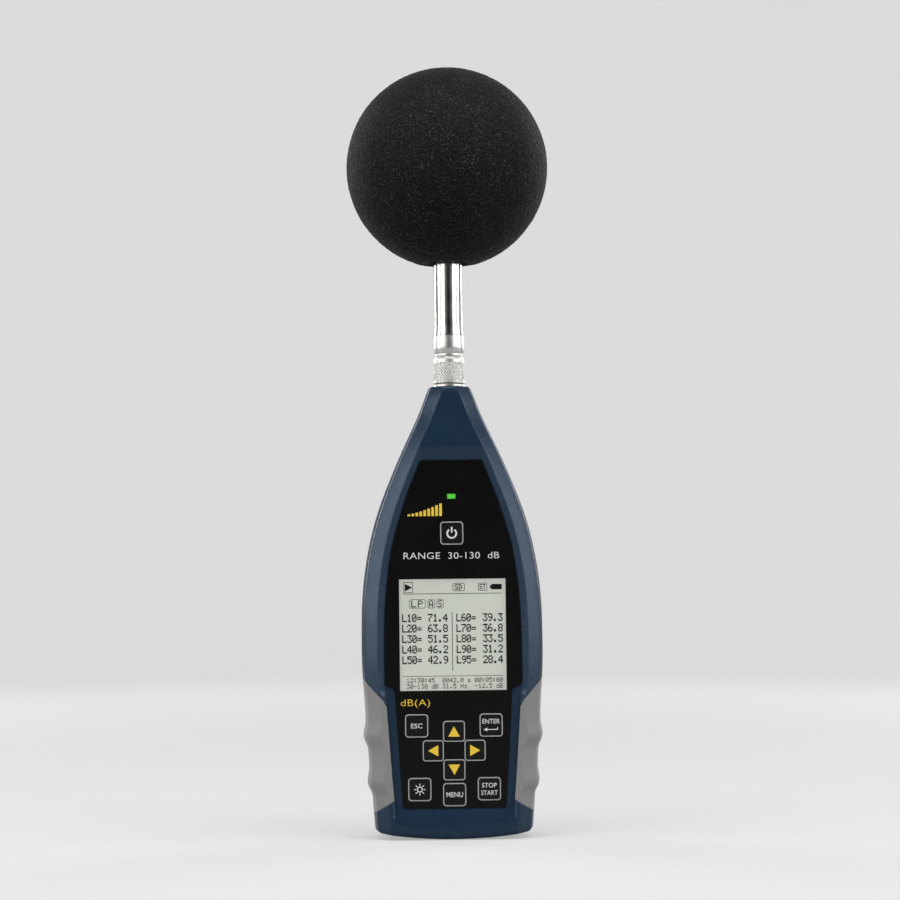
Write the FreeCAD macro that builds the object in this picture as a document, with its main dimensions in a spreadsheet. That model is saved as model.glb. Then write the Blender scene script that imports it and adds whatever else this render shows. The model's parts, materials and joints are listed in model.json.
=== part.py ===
"""Hand-held precision sound level meter with a half-inch measuring microphone and a foam windscreen.

Frame: millimetres, +Z up along the microphone axis, the display faces -Y, +X to the right of the
display. The origin lies on the microphone axis at the height of the lowest point of the housing.
"""
import FreeCAD, Part
import math
import os
import Sketcher
from FreeCAD import Placement, Rotation, Vector

doc = FreeCAD.newDocument("sound_level_meter")

# --------------------------------------------------------------------------------------
# Driving dimensions
# --------------------------------------------------------------------------------------
DIMENSIONS = {
    # housing
    "body_height": 200.0, "front_depth": 14.5, "back_depth": 21.5, "upper_back_depth": 14.0,
    "wall": 2.4, "side_draft": 1.2, "facet_width": 5.9, "facet_depth": 5.5,
    "back_facet_width": 4.0, "back_facet_depth": 5.0, "base_arc_radius": 205.0,
    "grip_thick": 1.8, "recess_depth": 1.6, "parting_y": 0.15,
    # front panel, window and lens
    "panel_thick": 1.2, "panel_face": 13.3, "ledge_back": 10.6,
    "window_width": 47.0, "window_height": 49.1, "window_z": 89.8,
    "lens_width": 3.6, "lens_height": 2.1, "lens_z": 150.85, "lens_back": 8.4,
    # keys
    "key_side": 9.2, "cross_side": 8.2, "cross_wide": 8.6, "key_corner": 1.2, "key_proud": 0.18,
    "key_behind": 0.9, "key_flange": 0.8, "key_ear": 0.5, "key_ear_wide": 4.0, "key_gap": 0.12,
    "plunger_radius": 2.0, "plunger_length": 3.45,
    # boards: the y values are the depths of their front faces
    "board_thick": 1.6, "display_board_y": 7.2, "main_board_y": 1.6,
    # display module
    "lcd_half_width": 26.5, "lcd_low": 61.6, "lcd_tall": 56.8,
    # battery bay
    "cell_radius": 7.05, "cell_length": 49.5, "cell_pitch": 14.3, "cell_y": 11.3,
    "cell_end_gap": 5.2, "nub_radius": 2.7, "nub_height": 1.0, "contact_thick": 0.4,
    "spring_radius": 4.0, "spring_top_radius": 2.85, "spring_rise": 3.55, "spring_wire": 0.32,
    "bay_half_width": 28.8, "bay_low": 12.0, "bay_high": 68.4, "bay_floor": 3.8,
    "door_half_width": 28.5, "door_thick": 2.0, "door_top": 73.8,
    "hinge_z": 10.8, "hinge_pin_radius": 0.7,
    # tripod insert and case screws
    "insert_radius": 4.0, "insert_bore": 2.6, "insert_length": 8.5, "insert_z": 125.0,
    "screw_shank": 1.4, "screw_head": 2.7, "screw_head_tall": 1.8, "screw_sunk": 3.0,
    # microphone, preamplifier and coupling
    "mic_radius": 6.35, "grid_radius": 6.6, "mic_tip": 300.0, "capsule_low": 286.1,
    "tube_low": 223.3, "tube_wall": 0.75, "collar_low": 214.0, "collar_radius": 6.9,
    "nut_low": 201.6, "nut_high": 213.8, "nut_radius": 7.05,
    "socket_thread": 5.5, "flange_low": 200.05, "flange_radius": 6.95, "flange_tall": 1.3,
    "ball_radius": 45.2, "ball_z": 298.7, "foam_bore": 6.72,
}
sheet = doc.addObject("Spreadsheet::Sheet", "dims")
for row, (alias, value) in enumerate(DIMENSIONS.items(), start=1):
    sheet.set("A%d" % row, alias)
    sheet.set("B%d" % row, str(value))
    sheet.setAlias("B%d" % row, alias)
doc.recompute()


class Dim:
    """A size that keeps both its number and the spreadsheet expression it came from."""

    def __init__(self, value, text):
        self.value, self.text = value, text

    def _join(self, other, sign, number):
        return Dim(number, "(%s %s %s)" % (self.text, sign, text_of(other)))

    def __add__(self, other):
        return self._join(other, "+", self.value + num(other))

    def __sub__(self, other):
        return self._join(other, "-", self.value - num(other))

    def __mul__(self, other):
        return self._join(other, "*", self.value * num(other))

    def __truediv__(self, other):
        return self._join(other, "/", self.value / num(other))

    def __radd__(self, other):
        return Dim(num(other) + self.value, "(%s + %s)" % (text_of(other), self.text))

    def __rsub__(self, other):
        return Dim(num(other) - self.value, "(%s - %s)" % (text_of(other), self.text))

    def __neg__(self):
        return Dim(-self.value, "(0 - %s)" % self.text)


def num(size):
    return size.value if isinstance(size, Dim) else float(size)


def text_of(size):
    if isinstance(size, Dim):
        return size.text
    return "%.6g" % size if size >= 0 else "(0 - %.6g)" % -size


def val(alias):
    """A driving dimension as a plain number."""
    return float(sheet.get(alias))


def dim(alias):
    """A driving dimension that stays linked to the spreadsheet."""
    return Dim(val(alias), "dims." + alias)


# --------------------------------------------------------------------------------------
# Helpers for Part objects
# --------------------------------------------------------------------------------------
TURNS = {  # where the object's own Z axis points
    "z": Rotation(),
    "y": Rotation(Vector(1, 0, 0), -90),
    "-y": Rotation(Vector(1, 0, 0), 90),
}
counter = [0]


def fresh(name):
    counter[0] += 1
    return "%s_%d" % (name, counter[0])


def bind(obj, prop, size):
    setattr(obj, prop, num(size))
    if isinstance(size, Dim):
        obj.setExpression(prop, size.text)


def place(obj, at, turn="z"):
    obj.Placement = Placement(Vector(*[num(size) for size in at]), TURNS[turn])
    for axis, size in zip("xyz", at):
        if isinstance(size, Dim):
            obj.setExpression("Placement.Base." + axis, size.text)
    return obj


def primitive(kind, sizes, at, turn="z", label=None):
    obj = doc.addObject("Part::" + kind, fresh(kind.lower()))
    for prop, size in sizes.items():
        bind(obj, prop, size)
    if label:
        obj.Label = label
    return place(obj, at, turn)


def cyl(radius, height, at, turn="z", label=None):
    return primitive("Cylinder", {"Radius": radius, "Height": height}, at, turn, label)


def cone(low_radius, high_radius, height, at, turn="z"):
    sizes = {"Radius1": low_radius, "Radius2": high_radius, "Height": height}
    return primitive("Cone", sizes, at, turn)


def box(x, y, z, label=None):
    """Box from (low, high) pairs along each axis."""
    sizes = {"Length": x[1] - x[0], "Width": y[1] - y[0], "Height": z[1] - z[0]}
    return primitive("Box", sizes, (x[0], y[0], z[0]), label=label)


def box_about(x, y, half_x, half_y, z):
    """Box centred on (x, y) over a (low, high) pair of heights."""
    return box((x - half_x, x + half_x), (y - half_y, y + half_y), z)


def fuse(*shapes, label=None, refine=True):
    obj = doc.addObject("Part::MultiFuse", label or fresh("fuse"))
    obj.Shapes = list(shapes)
    if refine:
        obj.Refine = True
    return obj


def cut(base, *tools, label=None):
    tool = tools[0] if len(tools) == 1 else fuse(*tools, refine=False)
    obj = doc.addObject("Part::Cut", label or fresh("cut"))
    obj.Base, obj.Tool = base, tool
    return obj


def group(shapes, label):
    obj = doc.addObject("Part::Compound", label)
    obj.Links = shapes


def feature(label, shape):
    obj = doc.addObject("Part::Feature", label)
    obj.Shape = shape
    obj.Placement = Placement()


# --------------------------------------------------------------------------------------
# Helpers for PartDesign bodies
# --------------------------------------------------------------------------------------
def body(label, at=(0, 0, 0)):
    return place(doc.addObject("PartDesign::Body", label), at)


def origin_feature(target, role):
    return [item for item in target.Origin.OriginFeatures if item.Role == role][0]


def new_sketch(target, role="XZ_Plane"):
    sketch = target.newObject("Sketcher::SketchObject", fresh("sketch"))
    sketch.AttachmentSupport = [(origin_feature(target, role), "")]
    sketch.MapMode = "FlatFace"
    return sketch


def constrain(sketch, kind, size, *refs):
    index = sketch.addConstraint(Sketcher.Constraint(kind, *refs, num(size)))
    if isinstance(size, Dim):
        sketch.setExpression("Constraints[%d]" % index, size.text)


def locate(sketch, geo, point, x, y):
    """Fix a point of a geometry by its signed distances from the sketch origin."""
    for kind, axis, size in (("DistanceX", -2, x), ("DistanceY", -1, y)):
        if abs(num(size)) < 1e-9:
            sketch.addConstraint(Sketcher.Constraint("PointOnObject", geo, point, axis))
        else:
            constrain(sketch, kind, size, -1, 1, geo, point)


def poly(sketch, points):
    """Closed polygon, every corner dimensioned from the origin."""
    first = sketch.GeometryCount
    count = len(points)
    corners = [Vector(num(x), num(y), 0) for x, y in points]
    for i in range(count):
        sketch.addGeometry(Part.LineSegment(corners[i], corners[(i + 1) % count]), False)
    for i in range(count):
        following = first + (i + 1) % count
        sketch.addConstraint(Sketcher.Constraint("Coincident", first + i, 2, following, 1))
    for i, (x, y) in enumerate(points):
        locate(sketch, first + i, 1, x, y)


def rect(sketch, x, y, width, height):
    left, right = x - width / 2, x + width / 2
    low, high = y - height / 2, y + height / 2
    poly(sketch, [(left, low), (right, low), (right, high), (left, high)])


def disc(sketch, x, y, radius):
    circle = Part.Circle(Vector(num(x), num(y), 0), Vector(0, 0, 1), num(radius))
    geo = sketch.addGeometry(circle, False)
    locate(sketch, geo, 3, x, y)
    constrain(sketch, "Radius", radius, geo)


def extrude(target, draw, arguments, length, backwards=False):
    """Pad of one outline in the XZ plane, towards -Y unless backwards."""
    sketch = new_sketch(target)
    draw(sketch, *arguments)
    pad = target.newObject("PartDesign::Pad", fresh("pad"))
    pad.Profile = sketch
    bind(pad, "Length", length)
    pad.Reversed = backwards
    sketch.Visibility = False
    return pad


def pocket_through(target, sketch):
    doc.recompute()
    before = target.Shape.Volume
    pocket = target.newObject("PartDesign::Pocket", fresh("pocket"))
    pocket.Profile = sketch
    pocket.Type = 1  # through all
    pocket.Reversed = True
    doc.recompute()
    assert target.Shape.Volume < before - 1e-3, "pocket cut nothing in " + target.Label
    return pocket


def fillet(target, base, radius, pick):
    doc.recompute()
    edges = ["Edge%d" % i for i, e in enumerate(base.Shape.Edges, start=1) if pick(e)]
    assert edges, "no edges to round in " + target.Label
    rounded = target.newObject("PartDesign::Fillet", fresh("fillet"))
    rounded.Base = (base, edges)
    bind(rounded, "Radius", radius)
    doc.recompute()
    return rounded


def along_y(edge, length=None):
    """True for a straight edge along Y."""
    if not isinstance(edge.Curve, Part.Line):
        return False
    span = edge.Vertexes[-1].Point - edge.Vertexes[0].Point
    if max(abs(span.x), abs(span.z)) >= 1e-6:
        return False
    return length is None or abs(span.Length - length) < 1e-3


def turned(label, profile):
    """A round part: closed (radius, height) profile revolved about Z."""
    target = body(label)
    sketch = new_sketch(target)
    poly(sketch, profile)
    revolution = target.newObject("PartDesign::Revolution", fresh("revolution"))
    revolution.Profile = sketch
    revolution.ReferenceAxis = (sketch, ["V_Axis"])
    revolution.Angle = 360.0
    return target


# --------------------------------------------------------------------------------------
# Helpers for plain shapes
# --------------------------------------------------------------------------------------
def block(x, y, z):
    return Part.makeBox(x[1] - x[0], y[1] - y[0], z[1] - z[0], Vector(x[0], y[0], z[0]))


def layer(y, z=(-5, 205)):
    """Block wider than the housing between two depths and two heights."""
    return block((-60, 60), y, z)


def rod(radius, length, at, direction=(0, 0, 1)):
    return Part.makeCylinder(radius, length, Vector(*at), Vector(*direction))


def rod_y(radius, length, x, y, z):
    return rod(radius, length, (x, y, z), (0, 1, 0))


def prism_y(points, y_low, y_high):
    """Polygon in X and Z extruded along Y."""
    corners = [Vector(x, y_low, z) for x, z in points]
    face = Part.Face(Part.makePolygon(corners + corners[:1]))
    return face.extrude(Vector(0, y_high - y_low, 0))


def both(points):
    """Right-hand half outline, listed upwards, closed on the left by its mirror image."""
    return points + [(-x, z) for x, z in reversed(points)]


def mirrored(places):
    """Every (x, z) place followed by its mirror image."""
    return [(sign * x, z) for x, z in places for sign in (1, -1)]


def largest(shape):
    return max(shape.Solids, key=lambda solid: solid.Volume)


# --------------------------------------------------------------------------------------
# Outline curves of the housing
# --------------------------------------------------------------------------------------
def curve(points):
    """Monotone cubic through (x, y) points, carried on straight beyond both ends."""
    xs = [p[0] for p in points]
    ys = [p[1] for p in points]
    spans = len(xs) - 1
    steps = [xs[i + 1] - xs[i] for i in range(spans)]
    slopes = [(ys[i + 1] - ys[i]) / steps[i] for i in range(spans)]
    tangents = [slopes[0]] + [0.0] * (spans - 1) + [slopes[-1]]
    for i in range(1, spans):
        if slopes[i - 1] * slopes[i] > 0:
            before = 2 * steps[i] + steps[i - 1]
            after = steps[i] + 2 * steps[i - 1]
            tangents[i] = (before + after) / (before / slopes[i - 1] + after / slopes[i])

    def evaluate(x):
        if x <= xs[0]:
            return ys[0] + tangents[0] * (x - xs[0])
        if x >= xs[-1]:
            return ys[-1] + tangents[-1] * (x - xs[-1])
        i = max(k for k in range(spans) if xs[k] <= x)
        part = (x - xs[i]) / steps[i]
        rest = 1 - part
        return (
            ys[i] * (1 + 2 * part) * rest ** 2 + steps[i] * tangents[i] * part * rest ** 2
            + ys[i + 1] * part * part * (3 - 2 * part)
            + steps[i] * tangents[i + 1] * part * part * (part - 1)
        )

    return evaluate


HEIGHT = val("body_height")
FRONT, BACK, UPPER_BACK = val("front_depth"), val("back_depth"), val("upper_back_depth")
PARTING = val("parting_y")

# (height, half width) of the housing
half_width = curve([
    (-3, 34.55), (3, 34.95), (11.3, 35.55), (25.5, 36.75), (40, 37.85), (53, 38.75),
    (61.5, 39.3), (70, 39.9), (79, 40.28), (88, 40.35), (97, 40.2), (106.9, 39.8),
    (117.7, 38.6), (128.6, 36.75), (140.4, 33.8), (148.8, 31.0), (158.1, 27.35),
    (168.3, 23.0), (176.7, 19.1), (186.9, 14.35), (196.6, 10.45), (HEIGHT, 9.15),
])
# (height, half width) over the bumpy rubber grips
grip_width = curve([
    (2, 35.0), (11.3, 35.6), (15, 35.85), (18, 36.05), (20.3, 36.5), (22.6, 37.6),
    (25.4, 38.2), (28.0, 37.95), (30.8, 37.55), (34.9, 37.6), (38.2, 37.8), (40.6, 38.2),
    (43.2, 39.3), (46.4, 39.85), (49.2, 39.3), (51.8, 38.95), (55, 38.95), (61.5, 39.3),
    (70, 39.85), (76, 40.1),
])
# (height, depth) of the front and back faces from the XZ plane
front_y = curve([
    (-3, FRONT), (160, FRONT), (171, FRONT - 0.1), (184, FRONT - 1.7), (HEIGHT, FRONT - 4.2),
])
back_y = curve([
    (-3, BACK), (77, BACK), (86, BACK - 1.0), (98, BACK - 4.6), (109, UPPER_BACK + 0.5),
    (119, UPPER_BACK), (164, UPPER_BACK), (180, UPPER_BACK - 1.3), (HEIGHT, UPPER_BACK - 3.7),
])

# heights of the lofted sections
BODY_Z = [
    -3, 5, 14, 24, 34, 44, 54, 64, 74, 84, 94, 104, 114, 124, 134, 144, 153, 162, 171, 180, 190,
    200,
]
GRIP_Z = [
    4, 8, 11.3, 15, 18, 20.3, 22.6, 25.4, 28.0, 30.8, 34.9, 38.2, 40.6, 43.2, 46.4, 49.2, 51.8,
    55, 61.5, 66, 70, 76,
]


def taper(z, low, high, start, end):
    part = min(1.0, max(0.0, (z - low) / (high - low)))
    return start + (end - start) * part


def draft_at(z):
    return taper(z, 150, HEIGHT, val("side_draft"), 0.55)


def front_facet_at(z):
    return taper(z, 150, HEIGHT, val("facet_width"), 5.5)


def crease(z):
    """Half width of the flat front face."""
    return half_width(z) - draft_at(z) - front_facet_at(z)


def section(z, inset, width, rounding):
    """Closed wire of the housing's cross-section at height z, inset by a wall thickness."""
    half = width(z) - inset
    side = half - draft_at(z)
    front, back = -(front_y(z) - inset), back_y(z) - inset
    mitre = inset - 0.414 * inset  # moves the facet corners so the facets are inset as well
    front_x = side - front_facet_at(z) + mitre
    back_x = side - taper(z, 120, HEIGHT, val("back_facet_width"), 5.5) + mitre
    front_corner = front + val("facet_depth") - mitre
    back_corner = back - taper(z, 120, HEIGHT, val("back_facet_depth"), 5.5) + mitre
    corners = [  # x, y, corner radius
        (-front_x, front, 0.9), (front_x, front, 0.9), (side, front_corner, 2.2),
        (half, 0.0, 0.0), (side, back_corner, 2.4), (back_x, back, 2.2),
        (-back_x, back, 2.2), (-side, back_corner, 2.4), (-half, 0.0, 0.0),
        (-side, front_corner, 2.2),
    ]
    points = [Vector(x, y, z) for x, y, _ in corners]
    count = len(corners)
    ends, arcs = [], []
    for i, point in enumerate(points):
        radius = corners[i][2] * rounding
        if radius > 0 and rounding == 1.0:
            # full-size sections get rounder corners near the base and the neck
            radius = max(radius, taper(z, 5, 24, 3.0, radius), taper(z, 182, 198, radius, 1.7))
        if radius < 1e-6:
            ends.append((point, point))
            arcs.append(None)
            continue
        before = points[i - 1] - point
        after = points[(i + 1) % count] - point
        before.normalize()
        after.normalize()
        half_angle = before.getAngle(after) / 2
        reach = radius / math.tan(half_angle)
        bisector = before + after
        bisector.normalize()
        centre = point + bisector * (radius / math.sin(half_angle))
        start, end = point + before * reach, point + after * reach
        ends.append((start, end))
        arcs.append(Part.Arc(start, centre - bisector * radius, end).toShape())
    edges = []
    for i in range(count):
        if arcs[i] is not None:
            edges.append(arcs[i])
        edges.append(Part.LineSegment(ends[i][1], ends[(i + 1) % count][0]).toShape())
    return Part.Wire(edges)


def envelope(inset, heights=BODY_Z, width=half_width, rounding=1.0):
    return Part.makeLoft([section(z, inset, width, rounding) for z in heights], True, False)


# ---- full outer form with its crowned base and softened rims, and the space inside
def base_cylinder(inset=0.0):
    """Cylinder across the housing whose underside is the crowned base."""
    radius = val("base_arc_radius")
    return Part.makeCylinder(radius - inset, 80, Vector(0, -40, radius), Vector(0, 1, 0))


outer_raw = envelope(0.0)
outer = outer_raw.common(base_cylinder().fuse(layer((-40, 40), (40, 210)))).removeSplitter()
outer = outer.makeFillet(2.4, [e for e in outer.Edges if e.BoundBox.ZMax < 3.6])
outer = outer.makeFillet(1.3, [e for e in outer.Edges if e.BoundBox.ZMin > HEIGHT - 0.01])
cavity = envelope(val("wall"), rounding=0.4).common(layer((-40, 40), (5.5, 194.0)))

# --------------------------------------------------------------------------------------
# Front recess. All outlines are right-hand halves of (x, z) points, listed upwards.
# --------------------------------------------------------------------------------------
PANEL_LOW = [(21.9, 13.75), (22.75, 14.6), (25.8, 65.2), (26.6, 66.4), (29.4, 67.2)]
PANEL_SIDE = [
    (30.15, 68.1), (30.15, 89.3), (29.75, 101.4), (29.0, 110.5), (27.95, 119.4),
    (26.75, 127.3), (25.25, 133.5), (23.1, 140.8), (20.25, 149.7), (17.9, 156.0),
    (14.3, 164.9), (13.3, 166.9),
]
RECESS_LOW = [(26.55, 13.5), (27.3, 26.0), (29.7, 59.5), (30.3, 66.0)]
BEZEL_LOW = [(26.75, 8.9), (27.5, 26.0), (29.9, 59.5), (32.8, 66.0)]
OPENING_LOW = [(19.9, 14.0), (20.9, 15.0), (24.0, 65.2), (28.2, 68.6)]
STRAIGHTS = len(RECESS_LOW)  # the sides are straight up to here and curved above
BEZEL_OVERRUN = 0.8  # the bezel cutter stands this far in front of the housing
PANEL_GAP = 0.12

panel_half = PANEL_LOW + PANEL_SIDE
floor_y = -(FRONT - val("recess_depth"))
ledge_y = -val("ledge_back")
recess_half = RECESS_LOW + [(x + 0.15, z) for x, z in PANEL_SIDE[:-1]] + [(13.4, 167.1)]
bezel_half = BEZEL_LOW + [(crease(z) - 0.35, z) for _, z in PANEL_SIDE[:-1]] + [(13.3, 173.2)]
overrun = BEZEL_OVERRUN / val("recess_depth")
raised_half = [
    (rim[0] + (rim[0] - low[0]) * overrun, rim[1] + (rim[1] - low[1]) * overrun)
    for rim, low in zip(bezel_half, recess_half)
]


def closed_wire(half, y):
    """Half outline and its mirror image, straight low down and splined higher up."""
    right = [Vector(x, y, z) for x, z in half]
    left = [Vector(-x, y, z) for x, z in half]

    def line(start, end):
        return Part.LineSegment(start, end).toShape()

    def spline(points):
        smooth = Part.BSplineCurve()
        smooth.interpolate(points)
        return smooth.toShape()

    edges = [line(right[i], right[i + 1]) for i in range(STRAIGHTS)]
    edges += [spline(right[STRAIGHTS:]), line(right[-1], left[-1])]
    edges.append(spline(left[STRAIGHTS:][::-1]))
    edges += [line(left[i], left[i - 1]) for i in range(STRAIGHTS, 0, -1)]
    edges.append(line(left[0], right[0]))
    return Part.Wire(edges)


def loosened(points, gap):
    """Outline moved outwards by a gap at the sides and at both ends."""
    def shift(z):
        return gap if z > 160 else -gap if z < 20 else 0.0

    return [(x + gap, z + shift(z)) for x, z in points]


bezel_cut = Part.makeLoft(
    [closed_wire(raised_half, -(FRONT + BEZEL_OVERRUN)), closed_wire(recess_half, floor_y)],
    True, True)
panel_pocket = prism_y(both(loosened(panel_half, PANEL_GAP)),
                       -(FRONT + 2), -(val("panel_face") - val("panel_thick")))
opening_half = OPENING_LOW + [(x - 1.9, z) for x, z in PANEL_SIDE[1:-1]] + [(11.8, 165.0)]
panel_opening = prism_y(both(opening_half), -(FRONT + 2), 0)
backing = prism_y(both([(x + 1.2, z) for x, z in recess_half]), floor_y, ledge_y)

# --------------------------------------------------------------------------------------
# Rubber grips set into both sides
# --------------------------------------------------------------------------------------
# (x, z) outlines of the right-hand grip in front of and behind the XZ plane
GRIP_FRONT = [
    (31.0, 60.9), (39.6, 70.4), (47, 71.5), (47, 8), (37.0, 10.4), (26.5, 17.2), (27.25, 26.0),
    (29.5, 58.2),
]
GRIP_BACK = [
    (34.2, 63.0), (39.6, 70.4), (47, 71.5), (47, 8), (37.0, 10.4), (31.4, 17.2), (32.0, 26.0),
    (33.6, 59.6),
]
GRIP_CLEARANCE = 0.03


def grip_zone(sign):
    front = [(sign * x, z) for x, z in GRIP_FRONT]
    back = [(sign * x, z) for x, z in GRIP_BACK]
    return prism_y(front, -30, 0.0).fuse(prism_y(back, 0.0, 30))


def build_grips():
    core = envelope(val("grip_thick"), rounding=0.6)
    bumpy = envelope(0.0, GRIP_Z, grip_width)
    for label, sign in (("left_grip", -1), ("right_grip", 1)):
        feature(label, largest(bumpy.common(grip_zone(sign)).cut(core)))


seat_core = envelope(val("grip_thick") + GRIP_CLEARANCE, rounding=0.6)
grip_seats = [outer_raw.common(grip_zone(sign)).cut(seat_core) for sign in (1, -1)]

# --------------------------------------------------------------------------------------
# Front and rear shells
# --------------------------------------------------------------------------------------
CASE_SCREWS = mirrored([(24.5, 5.6), (31.8, 80.0), (19.0, 150.0)])  # x, z
BOARD_POSTS = mirrored([(26.5, 58.0), (26.6, 124.0)])  # x, z
SOCKETS = {"dc": (-13.2, -6.15), "usb": (-3.45, -3.7), "aux": (5.6, -4.7), "serial": (13.4, -4.7)}
SOCKET_CHAMBERS = [  # socket, half width, front y
    ("dc", 4.7, -10.8), ("usb", 4.15, -5.9), ("aux", 3.2, -7.9), ("serial", 3.2, -7.9),
]
COUPLING_HOLE = (5.6, 20, (0, 0, 190))  # radius, length, foot
CASE_POST_FRONT = 12.6
BOARD_PIN_FRONT = 9.2
SCREW_TIP = 7.0  # depth of the case screw tips in front of the XZ plane
SCREW_BORE_FRONT = 7.8
SEAM_DEPTH = 0.55


def front_posts():
    posts = []
    for x, z in CASE_SCREWS:
        post = rod_y(2.8, CASE_POST_FRONT + PARTING, x, -CASE_POST_FRONT, z)
        posts.append(post.common(outer).cut(bezel_cut))
    for x, z in BOARD_POSTS:
        shoulder = rod_y(2.2, val("ledge_back") - val("display_board_y"), x, ledge_y - 0.2, z)
        pin = rod_y(1.6, BOARD_PIN_FRONT - val("main_board_y"), x, -BOARD_PIN_FRONT, z)
        posts.append(shoulder.fuse(pin))
    return posts


def front_holes():
    holes = [rod_y(val("screw_shank") + 0.05, 8.2, x, -SCREW_BORE_FRONT, z)
             for x, z in CASE_SCREWS]
    holes += [rod_y(1.05, 6.2, x, -7.0, z) for x, z in BOARD_POSTS]
    holes.append(rod(*COUPLING_HOLE))
    # room for the display frame
    holes.append(block((-27.15, 27.15), (-12.05, -10.0), (61.35, 119.1)))
    # socket openings in the base, then the chambers behind them
    usb_x = SOCKETS["usb"][0]
    holes += [
        rod(4.0, 6, (*SOCKETS["dc"], -2)),
        block((usb_x - 4.65, usb_x + 4.65), (-6.3, -1.1), (-2, 3)),
        rod(3.3, 6, (*SOCKETS["aux"], -2)),
        rod(3.3, 6, (*SOCKETS["serial"], -2)),
    ]
    for socket, half, y_front in SOCKET_CHAMBERS:
        x = SOCKETS[socket][0]
        holes.append(block((x - half, x + half), (y_front, -1.0), (1.9, 7)))
    return holes


def build_front_shell():
    shell = outer.common(layer((-60, PARTING))).cut(cavity)
    shell = shell.cut(bezel_cut)
    shell = shell.fuse(backing.common(outer).cut(bezel_cut))
    shell = shell.fuse(front_posts())
    shell = shell.cut(panel_pocket)
    shell = shell.cut(panel_opening.common(layer((-60, ledge_y + 0.001), (0, 200))))
    for seat in grip_seats:
        shell = shell.cut(seat)
    feature("front_shell", largest(shell.cut(front_holes())))


door_half, door_top = val("door_half_width"), val("door_top")
door_inner_y = BACK - val("door_thick")
hinge_y, hinge_z = BACK - val("door_thick") / 2, val("hinge_z")
hinge_pin = val("hinge_pin_radius")


def rear_holes():
    bay_half, insert_long = val("bay_half_width"), val("insert_length")
    pin_reach = door_half + 1.4
    holes = [
        # battery bay, seat of the door, hinge pin holes and thumb hollow
        block((-bay_half, bay_half), (val("bay_floor"), 40), (val("bay_low"), val("bay_high"))),
        block((-door_half - 0.15, door_half + 0.15), (door_inner_y - 0.1, 40),
              (hinge_z - 1.15, door_top + 0.2)),
        rod(hinge_pin + 0.08, 2 * pin_reach, (-pin_reach, hinge_y, hinge_z), (1, 0, 0)),
        Part.makeSphere(12.0, Vector(0, BACK + 10.4, door_top + 1.6)),
        # tripod insert, rear label and coupling
        rod_y(val("insert_radius") + 0.02, insert_long + 3,
              0, UPPER_BACK - insert_long - 0.02, val("insert_z")),
        block((-14.1, 14.1), (UPPER_BACK - 0.3, 20), (136.9, 159.1)),
        rod(*COUPLING_HOLE),
    ]
    for x, z in CASE_SCREWS:
        holes.append(rod_y(val("screw_shank") + 0.15, 40, x, -1, z))
        holes.append(rod_y(val("screw_head") + 0.25, 20, x, back_y(z) - val("screw_sunk"), z))
    return holes


def build_rear_shell():
    bay_half = val("bay_half_width")
    shell = outer.common(layer((PARTING, 60))).cut(cavity)
    bay = block((-bay_half - 1.5, bay_half + 1.5), (val("bay_floor") - 1.4, BACK - 0.6),
                (val("bay_low") - 1.4, val("bay_high") + 1.4))
    shell = shell.fuse(bay.common(outer))
    posts = [rod_y(2.9, back_y(z) - 0.5, x, PARTING, z).common(outer) for x, z in CASE_SCREWS]
    posts.append(rod_y(val("insert_radius") + 2.6, UPPER_BACK - 3.4, 0, 3.4, val("insert_z")))
    shell = shell.fuse(posts)
    # a fine rebate round the joint line, so that the two shells meet with a shadow gap
    rebate = (PARTING - 0.01, PARTING + 0.28)
    seam = outer_raw.cut(envelope(SEAM_DEPTH)).common(layer(rebate))
    base_ring = base_cylinder().cut(base_cylinder(SEAM_DEPTH))
    base_seam = base_ring.common(layer(rebate, (-5, 12)))
    shell = shell.cut(rear_holes()).cut(seam).cut(base_seam)
    for seat in grip_seats:
        shell = shell.cut(seat)
    feature("rear_shell", largest(shell))


def build_battery_door():
    """Flat cover with a full-round hinge edge, two hinge pins, finger grooves and inner ribs."""
    door = block((-door_half, door_half), (door_inner_y, BACK), (hinge_z, door_top))
    door = door.fuse(rod(val("door_thick") / 2, 2 * door_half,
                         (-door_half, hinge_y, hinge_z), (1, 0, 0)))
    door = door.common(outer_raw)
    top_corners = [e for e in door.Edges if along_y(e) and e.CenterOfMass.z > door_top - 1]
    door = door.makeFillet(1.2, top_corners)
    sunk = 0.5
    pins = [rod(hinge_pin, 1.2 + sunk, (sign * (door_half - sunk), hinge_y, hinge_z), (sign, 0, 0))
            for sign in (1, -1)]
    ribs = [block((x - 0.6, x + 0.6), (door_inner_y - 0.9, door_inner_y), (18, 64))
            for x in (-14.3, 0, 14.3)]
    grooves = [block((-9.0, 9.0), (BACK - 0.45, BACK + 1), (61.0 + 2.2 * i, 61.9 + 2.2 * i))
               for i in range(5)]
    feature("battery_door", door.fuse(pins + ribs).cut(grooves).removeSplitter())


# --------------------------------------------------------------------------------------
# Front panel, window, lens and keys
# --------------------------------------------------------------------------------------
square = (dim("key_side"), dim("key_side"))
across = (dim("cross_side"), dim("cross_side"))
upright = (dim("cross_wide"), dim("cross_side"))
KEYS = [  # name, x, z, (width, height)
    ("key_power", 0.0, 134.6, square),
    ("key_escape", -16.4, 49.9, square),
    ("key_enter", 16.4, 49.9, square),
    ("key_up", 0.0, 47.3, upright),
    ("key_left", -9.2, 38.9, across),
    ("key_right", 9.2, 38.9, across),
    ("key_down", 0.0, 30.5, upright),
    ("key_light", -15.3, 22.0, square),
    ("key_menu", 0.0, 19.6, square),
    ("key_start_stop", 15.3, 22.0, square),
]
panel_back = -(dim("panel_face") - dim("panel_thick"))


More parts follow.
